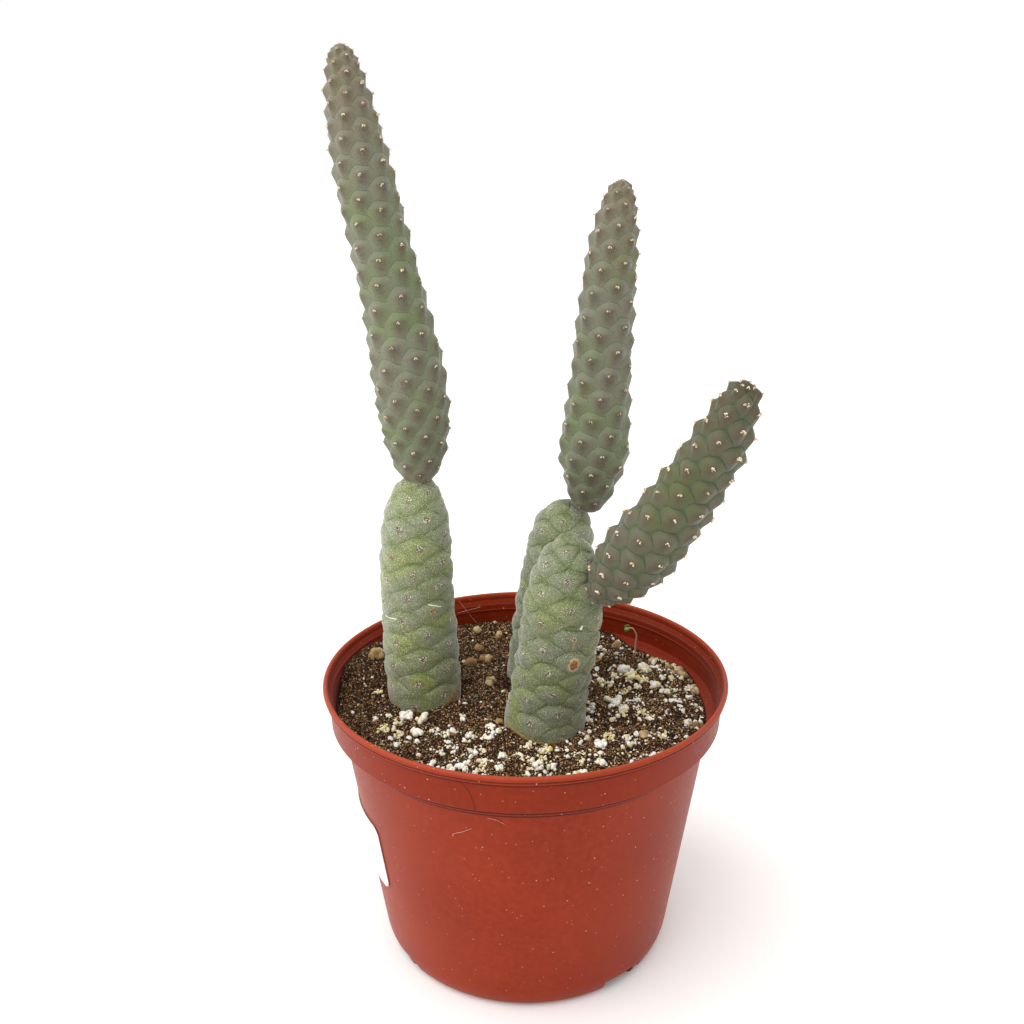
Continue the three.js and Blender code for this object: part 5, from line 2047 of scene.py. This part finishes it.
@dataclass
class SoilBed:
    """Gritty soil: a rough bed with crumbs, perlite, pumice and bark chips; millimetres."""

    pot: Pot
    effects: Effects
    segments: Sequence[Segment]
    rings: int = 104
    sides: int = 288
    level: float = 96.9
    roughness: float = 0.55
    edge: Sequence[tuple[float, float]] = (
        (-180, 97.5), (-140, 99.0), (-128, 101.8), (-119, 104.8), (-101, 105.0), (-96, 100.5), (-90, 96.8),
        (0, 97.0), (60, 96.0), (79, 95.2), (95, 95.2), (113, 96.0), (130, 94.6), (137, 94.8), (150, 96.7),
    )
    even_radius: float = 45.0
    hole_bottom: float = 77.0
    wall_gap: float = 0.35
    rim_gap: float = 0.4
    edge_drop: float = 0.25
    rim_steps: Sequence[tuple[float, float]] = ((0.5, math.inf), (1.2, 94.4))
    white_lumps: Sequence[Corner] = (
        (40.6, 25.6, 3.1), (47.6, 27.5, 2.3), (48.4, 23, 2.2), (50.8, 11.2, 2.7), (55, 7, 1.6), (44, 10, 1.7),
        (33.2, -4.6, 2.9), (37, -8.5, 2.4), (39.5, -2, 1.8), (26.6, -35, 2.5), (25.3, -45.5, 2.4),
        (36, -28.7, 1.8), (46, -15.5, 1.5), (-43.9, -14, 2.6), (-38.9, -14.6, 2.7), (-39.9, -24, 2.6),
        (64, 10, 1.9), (63, 3, 1.4), (60, -16, 1.7), (57, -2, 1.5), (50, -15, 1.1), (33, 41, 1.4),
        (22, -16, 1.5), (25, -11, 1.1), (40, 52, 1.5), (30, 16, 1.6), (28, 22, 1.3), (55, 18, 1.4),
        (-3.3, -42, 2.2), (-8.6, -40.2, 1.8), (3.8, -48, 2.0), (8.4, -48.6, 1.8), (18, -52.6, 2.2),
        (-13.3, -21.4, 1.7), (-23.8, -12.6, 1.7), (-20.4, -27, 1.7), (1.2, -33, 1.5), (-4.8, -31, 1.2),
        (-21.5, -49.4, 1.4), (-9.5, -50, 1.5), (-0.1, -52, 1.3), (-31.8, -25.4, 1.4), (23.4, -17.4, 1.4),
        (-55.8, -13.2, 1.2), (-51, -11.6, 1.2), (-34.6, -21.3, 1.0), (13.8, -53, 1.1),
    )
    yellow_lumps: Sequence[Corner] = (
        (41.9, 16.4, 2.9), (46.5, 14, 2.0), (31.5, 12, 2.2), (42.8, -11.5, 1.9), (36.5, -11.8, 1.7),
        (29.8, -28, 1.9), (49, -28.2, 1.7), (-52.3, -21.4, 2.3), (-47, -18, 1.8), (-46.3, -25.4, 1.8),
        (-56.6, 4.2, 1.7), (46.5, -14.5, 1.4), (6.6, -38, 2.1), (-1.6, -45.4, 1.5), (18.5, -45.4, 1.3),
        (-16.5, -51.6, 1.3), (-15.2, -46.4, 1.4), (5.5, -44, 1.5), (60, 29, 1.4), (57, 34, 1.0),
        (36, 21, 1.3), (38, 6, 1.2),
    )
    stones: Sequence[Corner] = (
        (39.1, 48.4, 2.6), (58.7, 27.5, 1.9), (61.5, 22.5, 1.7), (63.8, 20.4, 2.0), (66, 12, 1.8),
        (66, 8.4, 2.2), (63.2, -18.3, 2.3), (42.4, -27.4, 2.4), (-58.7, 26.9, 3.4), (-16, 37, 2.5),
        (-19, 45, 1.9), (-13, 15, 2.4), (-21.4, 32.5, 3.0), (-20, 61, 1.9), (-10, 58, 1.9), (-2, 5, 1.5),
        (30, 33, 1.9), (25, 50, 2.0), (52, 36, 1.5), (-9.7, -17, 1.5), (62, 26, 1.6), (59, 23, 1.5),
        (65, 16, 1.7),
    )

    finishes: Sequence[tuple[str, Sequence[Shade], Shade, float, float, float]] = (
        (
            "peat_crumbs",
            (
                (30, 18, 12), (88, 56, 36), (176, 132, 84), (54, 33, 21), (128, 88, 56), (22, 13, 9),
                (212, 178, 130), (102, 66, 42), (70, 44, 28),
            ),
            (28, 17, 11), 0.5, 0.1, 0.92,
        ),
        (
            "sand_grains",
            ((214, 182, 130), (244, 234, 208), (176, 132, 84), (204, 164, 112), (228, 208, 168)),
            (120, 84, 52), 0.5, 0.1, 0.9,
        ),
        (
            "bark_chips", ((44, 27, 17), (92, 60, 38), (66, 43, 28), (140, 104, 68)), (28, 18, 12), 0.6, 0.1,
            0.85,
        ),
        (
            "perlite",
            (
                (246, 243, 236), (250, 248, 243), (238, 230, 196), (248, 245, 238), (230, 214, 174),
                (244, 240, 220), (250, 247, 240),
            ),
            (206, 190, 148), 0.55, 0.3, 0.85,
        ),
        (
            "yellow_perlite",
            ((238, 226, 168), (244, 240, 214), (226, 204, 130), (246, 242, 222), (238, 228, 184)),
            (196, 164, 88), 0.5, 0.25, 0.85,
        ),
        (
            "pumice", ((200, 174, 130), (174, 142, 98), (214, 196, 158), (150, 116, 78)), (104, 76, 46), 0.6,
            0.3, 0.9,
        ),
    )

    def edge_height(self, x: np.ndarray, y: np.ndarray) -> np.ndarray:
        """Height of the soil at the wall, on the same side as each place."""
        return np.interp(np.degrees(np.arctan2(x, -y)), *np.array(self.edge).T, period=360)

    def rim(self, x: np.ndarray, y: np.ndarray) -> np.ndarray:
        """Radius of the bed's top, on the same side as each place."""
        return self.pot.inner_radius(self.edge_height(x, y) - self.edge_drop) - self.rim_gap

    def height(self, x: np.ndarray, y: np.ndarray) -> np.ndarray:
        """Height of the bare soil."""
        waves = np.sin(x * 0.21 + 1.3) * np.cos(y * 0.17) + np.sin(x * 0.09 - y * 0.26 + 2.1)
        wall = smoothstep(50, 70, np.hypot(x, y))
        return self.level + self.roughness * waves * (1 - wall) + (self.edge_height(x, y) - self.level) * wall

    def open_share(self, x: np.ndarray, y: np.ndarray, margin: float) -> np.ndarray:
        """1 on open soil and 0 within a margin of the stems."""
        share = np.ones_like(x)
        for segment in self.segments:
            if segment.soil:
                middle = segment.centre(segment.soil / segment.length)
                reach = float(segment.radius(segment.soil)) + margin
                share *= smoothstep(reach - 0.7, reach, np.hypot(x - middle[0], y - middle[1]))
        return share

    def build(self) -> None:
        """Makes and settles the bed and its grains."""
        bed = self._bed()
        rough = GrainTree("scattered grains", scattered=True, smooth=False)
        smooth = GrainTree("scattered lumps", scattered=True, smooth=True)
        setter = GrainTree("placed lumps", scattered=False, smooth=True)
        made = {
            name: GrainFinish(name, paints(*tones), paint(*shade), *look).build(self.effects)
            for name, tones, shade, *look in self.finishes
        }
        strewn = (
            (
                rough, "peat_crumbs", 0.0, made["peat_crumbs"],
                Grains(0.2, 0.48, (1, 1, 0.9), 3.0, 0.0, 0.8, 1.6, 1, per_square_cm=43, seed=31),
            ),
            (
                rough, "sand_grains", 0.0, made["sand_grains"],
                Grains(0.13, 0.25, (1, 1, 0.9), 3.0, -0.6, 0.8, 1.6, 1, per_square_cm=33, seed=36),
            ),
            (
                rough, "bark_chips", 0.0, made["bark_chips"],
                Grains(0.5, 1.5, (1.3, 0.5, 0.3), 0.6, -0.2, 0.8, 1.6, 1, per_square_cm=1.8, seed=32),
            ),
            (
                smooth, "perlite_grains", 1.0, made["perlite"],
                Grains(
                    0.3, 0.7, (1, 0.9, 0.85), 3.0, 0.0, 0.7, 1.5, 1, per_square_cm=8, clumping=1.0, seed=33
                ),
            ),
            (
                smooth, "large_perlite", 1.0, made["perlite"],
                Grains(
                    0.6, 1.3, (1.15, 0.85, 0.8), 3.0, 0.1, 0.8, 1.3, 2, per_square_cm=2.4, clumping=1.0,
                    seed=38,
                ),
            ),
        )
        for sort in strewn:
            self._scatter(bed, *sort)
        lobes = Grains(0.26, 0.52, (1, 1, 0.9), 3.0, 0.1, 0.8, 1.3, 2, 11, (0.75, 0.75, 0.3), seed=34)
        self._place(setter, "perlite_lumps", self.white_lumps, made["perlite"], lobes)
        beads = Grains(0.18, 0.38, (1, 1, 0.9), 3.0, 0.0, 0.7, 1.4, 2, 18, (0.9, 0.9, 0.35), seed=37)
        self._place(setter, "yellow_lumps", self.yellow_lumps, made["yellow_perlite"], beads)
        self._place(
            setter, "pumice_stones", self.stones, made["pumice"],
            Grains(0.5, 0.85, (1, 1, 0.85), 3.0, 0.1, 0.8, 1.4, 2, 4, (0.45, 0.45, 0.2), seed=35),
        )
        settle(bed, Slot.SOIL, "soil")

    def _bed(self) -> Object:
        """The soil body: a rough top with holes for the stems, inside the pot's wall."""
        below = (self.pot.heel_height, 2.9, self.pot.floor + 0.3)
        reach = (self.pot.heel_radius - self.pot.wall, self.pot.foot_radius + 2.2, self.pot.foot_radius - 1.4)
        wall = [(70, 96), (70, 95), *zip(np.array(reach) - self.wall_gap, below)]
        widest = float(self.pot.inner_radius(self.level))
        tops = np.linspace(0, widest, self.rings + 1)[1:]
        profile = [(0.0, self.level), *((r, self.level) for r in tops), *wall, (0.0, self.pot.floor + 0.3)]
        points, faces = lathe(np.array(profile[::-1]), self.sides)
        count = self.rings * self.sides
        start = len(wall) * self.sides
        top = np.zeros(len(points), bool)
        top[start : start + count] = True
        top[-1] = True
        x, y, _ = points.T
        near = np.hypot(x, y)
        rim, edge = self.rim(x, y), self.edge_height(x, y)
        stretched = self.even_radius + (near - self.even_radius) * (rim - self.even_radius) / (
            widest - self.even_radius
        )
        reach = np.where(top & (near > self.even_radius), stretched, near)
        for step, (drop, ceiling) in enumerate(self.rim_steps, 1):
            ring = slice(start - step * self.sides, start - (step - 1) * self.sides)
            points[ring, 2] = np.minimum(edge[ring] - drop, ceiling)
            reach[ring] = self.pot.inner_radius(points[ring, 2]) - self.wall_gap
        points[:, :2] *= (reach / np.maximum(near, 1e-6))[:, None]
        x, y, _ = points.T
        ground = self.height(x, y)
        bore = 1 - self.open_share(x, y, 0.5)
        points[top, 2] = (ground - bore * (ground - self.hole_bottom))[top]
        piece = mesh_object("soil_bed", points, faces)
        inward = rim - reach
        keep_numbers(piece, "grains", self.open_share(x, y, 1.0) * (inward > 0.7) * top)
        keep_numbers(piece, "rough", (1 - bore) * top * smoothstep(0.2, 3.0, inward))
        BedTree().bake(
            piece, {"Coarse": 6.5 * MM, "Fine": 2.0 * MM, "Finish": SoilFinish().build(self.effects)}
        )
        return piece

    def _scatter(
        self, bed: Object, tree: GrainTree, name: str, uneven: float, finish: Material, grains: Grains
    ) -> None:
        """Scatters one sort of grain over the bed.

        Args:
            bed: The finished bed.
            tree: Tree that scatters grains.
            name: Name of the piece.
            uneven: 1 to crowd the grains toward the front and right as the mix does, 0 for even.
            finish: Material of the grains.
            grains: Their sizes.
        """
        piece = bpy.data.objects.new(name, bed.data.copy())
        bpy.context.scene.collection.objects.link(piece)
        if uneven:
            attribute = piece.data.attributes["grains"]
            clear = read_numbers(attribute.data, "value")
            x, y, _ = (read_numbers(piece.data.vertices, "co", 3) / MM).T
            front = smoothstep(-12, -34, y) * smoothstep(-58, -24, x)
            rich = 0.22 + 1.4 * smoothstep(-10, 36, x) * (1 - front) + 1.7 * front
            attribute.data.foreach_set("value", (clear * rich).astype(np.float32))
        tree.bake(piece, grains.values(finish))
        settle(piece, Slot.SOIL)

    def _place(
        self, tree: GrainTree, name: str, places: Sequence[Corner], finish: Material, grains: Grains
    ) -> None:
        """Sets lumps of grains at given places on the bed."""
        x, y, size = np.array(places, float).T
        kept = np.minimum(1, (self.rim(x, y) - size * 0.9) / np.hypot(x, y))
        x, y = x * kept, y * kept
        up = np.tile([0.0, 0.0, 1.0], (len(x), 1))
        along = np.tile([0.0, 1.0, 0.0], (len(x), 1))
        points = np.stack([x, y, self.height(x, y) + size * 0.25], axis=1)
        piece = bare_points(name, points, up, along, size)
        tree.bake(piece, grains.values(finish))
        settle(piece, Slot.SOIL)


class BedTree(GeometryTree):
    """Roughens the bed of soil into pits and clods."""

    COARSE_SCALE = 110.0
    FINE_SCALE = 420.0

    def __init__(self) -> None:
        """Builds the tree."""
        super().__init__("soil clods", {"Coarse": "Float", "Fine": "Float"})
        position = self.position()
        coarse = self.minus(self.noise(position, self.COARSE_SCALE, 2.0, 1.0), 0.5)
        fine = self.minus(self.noise(position, self.FINE_SCALE, 3.0, 2.0), 0.5)
        lift = self.plus(self.times(coarse, self.inputs["Coarse"]), self.times(fine, self.inputs["Fine"]))
        lift = self.times(lift, self.attribute("rough"))
        offset = self.add("ShaderNodeCombineXYZ", {2: lift}).outputs[0]
        moved = self.moved(self.inputs["Geometry"], offset)
        self.finish(moved)


@dataclass
class Seedling:
    """Weed seedling by the back wall: a bent thread of a stem with a two-lobed leaf; millimetres."""

    effects: Effects
    stem: Sequence[Point] = (
        (46.2, 42.6, 92), (46.3, 42.8, 99.5), (46.6, 42.9, 103.6), (45.2, 42.9, 106.6), (43.4, 42.9, 107.2)
    )
    stem_radius: float = 0.36
    leaf_length: float = 2.3
    leaf_width: float = 2.5
    leaf_depth: float = 0.7
    grid: int = 24
    lobes: Sequence[tuple[float, float, float]] = ((-50, 0.1, 0.7), (42, -0.5, -0.2), (95, 0.3, -1.1))

    def build(self) -> None:
        """Makes and settles the seedling."""
        path = smooth_path(self.stem, 10)
        radii = np.linspace(self.stem_radius, self.stem_radius * 0.7, len(path))
        stem = tube(path, radii, 10)
        bodies = [stem]
        green = [np.zeros(len(stem[0]))]
        vein = [np.zeros(len(stem[0]))]
        for lobe in self.lobes:
            points, faces, ribs = self._lobe(*lobe)
            bodies.append((points, faces))
            green.append(np.ones(len(points)))
            vein.append(ribs)
        points, faces = join_bodies(bodies)
        piece = mesh_object("weed_seedling", points, faces)
        keep_numbers(piece, "leaf", np.concatenate(green))
        keep_numbers(piece, "vein", np.concatenate(vein))
        piece.data.materials.append(LeafFinish().build(self.effects))
        settle(piece, Slot.SEEDLING, "seedling")

    def _lobe(
        self, tilt: float, across: float, rise: float
    ) -> tuple[np.ndarray, list[list[int]], np.ndarray]:
        """One round lobe of the leaf, cupped.

        Args:
            tilt: Tilt about the leaf's length, in degrees.
            across: Shift toward the back.
            rise: Shift upward.

        Returns:
            Points, faces and how near each point is to the middle vein.
        """
        turns, rows = self.grid, self.grid // 2
        profile = np.array([(math.sin(t), -math.cos(t)) for t in np.linspace(0, math.pi, rows + 1)])
        profile[0][0] = profile[-1][0] = 0.0
        points, faces = lathe(profile, turns)
        ribs = np.exp(-((points[:, 1] / 0.16) ** 2))
        points = points * [self.leaf_length * 0.5, self.leaf_width * 0.34, self.leaf_depth * 0.5]
        points[:, 2] += 0.16 * points[:, 1] ** 2 + 0.08 * points[:, 0] ** 2
        turn = Matrix.Rotation(math.radians(tilt), 3, "X") @ Matrix.Rotation(math.radians(tilt * 0.4), 3, "Z")
        points = points @ np.array(turn).T
        end = np.array(self.stem[-1])
        points += end + [-self.leaf_length * 0.35, across, rise]
        return points, faces, ribs


@dataclass
class Lint:
    """Fine hairs lying on the pot and in the soil; millimetres."""

    effects: Effects
    hairs: Sequence[Sequence[Point]] = (
        ((-25.2, -62.4, 79.3), (-25.2, -62.6, 80.4), (-22.0, -64.0, 82.1), (-18.8, -65.4, 84.3)),
        ((-13.4, -67.6, 89.7), (-10.7, -68.0, 89.3), (-7.8, -68.1, 87.7)),
        ((-27.7, 65.6, 109.9), (-24.0, 67.1, 104.0), (-19.9, 68.4, 97.7)),
        ((-28.2, 65.4, 104.4), (-23.5, 67.2, 104.9), (-18.4, 68.8, 105.6)),
        ((44.5, -40.5, 98.0), (46.5, -41.0, 100.2), (46.2, -42.0, 98.2)),
        ((36.0, -36.0, 98.0), (38.0, -35.0, 100.0), (40.5, -36.5, 98.4)),
    )
    radius: float = 0.045

    def build(self) -> None:
        """Makes and settles the hairs."""
        bodies = []
        for hair in self.hairs:
            path = smooth_path(hair, 8)
            bodies.append(tube(path, np.full(len(path), self.radius), 6))
        piece = mesh_object("lint_hairs", *join_bodies(bodies))
        piece.data.materials.append(LintFinish().build(self.effects))
        settle(piece, None)


@dataclass
class Studio:
    """Plain pale floor, soft light and the camera at the photograph's place."""

    effects: Effects
    camera_place: Point = (-4.5, -408.7, 317.3)
    pitch: float = 19.4
    roll: float = -0.46
    sensor: float = 36.0
    focal_pixels: float = 1200.0
    frame_pixels: float = 1024.0
    floor_size: float = 12.0
    floor_glow: float = 0.04
    ambient: float = 1.0
    dim_front: float = 0.5
    key_strength: float = 2.2
    key_spread: float = 80.0
    key_from: tuple[float, float] = (-60.0, 45.0)
    fill_strength: float = 0.2
    fill_spread: float = 80.0
    fill_from: tuple[float, float] = (40.0, 65.0)
    under_pot: float = 0.05

    def build(self) -> None:
        """Makes the floor, the lights, the world and the camera."""
        self._floor()
        self._world()
        self._sun("key_light", self.key_strength, self.key_spread, self.key_from)
        self._sun("fill_light", self.fill_strength, self.fill_spread, self.fill_from)
        self._camera()
        view = bpy.context.scene.view_settings
        view.view_transform = "Standard"
        view.look = "None"

    def _floor(self) -> None:
        """A wide pale floor just under the pot."""
        half, z = self.floor_size / 2 / MM, -self.under_pot
        corners = [(-half, -half, z), (half, -half, z), (half, half, z), (-half, half, z)]
        floor = mesh_object("studio_floor", np.array(corners), [[0, 1, 2, 3]])
        tree = MaterialWiring("pale_floor", self.effects)
        cloud = tree.drift(3.0, 2.0)
        colour = tree.blend(cloud, paint(250, 249, 247), paint(252, 251, 249))
        glow = {"Emission_Color": (1.0, 0.995, 0.985, 1.0), "Emission_Strength": self.floor_glow}
        floor.data.materials.append(tree.done(colour, 0.7, None, Specular_IOR_Level=0.2, **glow))

    def _world(self) -> None:
        """White surroundings, dimmer toward the camera's side, seen as plain white by the camera."""
        world = bpy.data.worlds.new("white_surroundings")
        world.use_nodes = True
        bpy.context.scene.world = world
        wiring = Wiring(world.node_tree)
        direction = wiring.add("ShaderNodeTexCoord").outputs["Generated"]
        _, y, z = wiring.parts(direction)
        lit = wiring.remap(y, -0.9, 0.5, (self.ambient * self.dim_front, self.ambient))
        lit = wiring.mix(wiring.remap(z, 0.5, 1.0), lit, self.ambient)
        seen = wiring.add("ShaderNodeLightPath").outputs["Is Camera Ray"]
        background = world.node_tree.nodes["Background"]
        background.inputs["Color"].default_value = (1.0, 1.0, 1.0, 1.0)
        wiring.feed(background.inputs["Strength"], wiring.mix(seen, lit, 1.0))

    def _sun(self, name: str, strength: float, spread: float, source: tuple[float, float]) -> None:
        """A broad distant light.

        Args:
            name: Name of the light.
            strength: Its strength.
            spread: Its apparent size in degrees.
            source: Angle round the pot and angle above the floor that it comes from.
        """
        light = bpy.data.lights.new(name, "SUN")
        light.energy = strength
        light.angle = math.radians(spread)
        lamp = bpy.data.objects.new(name, light)
        around, above = (math.radians(angle) for angle in source)
        away = Vector(
            (math.sin(around) * math.cos(above), -math.cos(around) * math.cos(above), math.sin(above))
        )
        lamp.rotation_euler = away.to_track_quat("Z", "Y").to_euler()
        bpy.context.scene.collection.objects.link(lamp)

    def _camera(self) -> None:
        """The camera where the photograph was taken from."""
        data = bpy.data.cameras.new("photo_camera")
        data.sensor_width = self.sensor
        data.lens = self.sensor * self.focal_pixels / self.frame_pixels
        data.clip_start, data.clip_end = 0.01, 50.0
        camera = bpy.data.objects.new("photo_camera", data)
        camera.location = Vector(self.camera_place) * MM
        tilt = Matrix.Rotation(math.radians(90 - self.pitch), 3, "X")
        roll = Matrix.Rotation(math.radians(self.roll), 3, "Z")
        camera.rotation_euler = (tilt @ roll).to_euler()
        bpy.context.scene.collection.objects.link(camera)
        bpy.context.scene.camera = camera


def main() -> None:
    """Builds the potted cactus and its studio in order."""
    logging.basicConfig(level=logging.INFO, format="%(name)s %(message)s", force=True)
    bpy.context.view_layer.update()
    effects = Effects()
    Studio(effects).build()
    pot = Pot(effects)
    pot.build()
    BlankLabel(pot, effects).build()
    plants = Plants(effects)
    SoilBed(pot, effects, plants.segments).build()
    Seedling(effects).build()
    Lint(effects).build()
    plants.build()


if __name__ == "__main__":
    main()
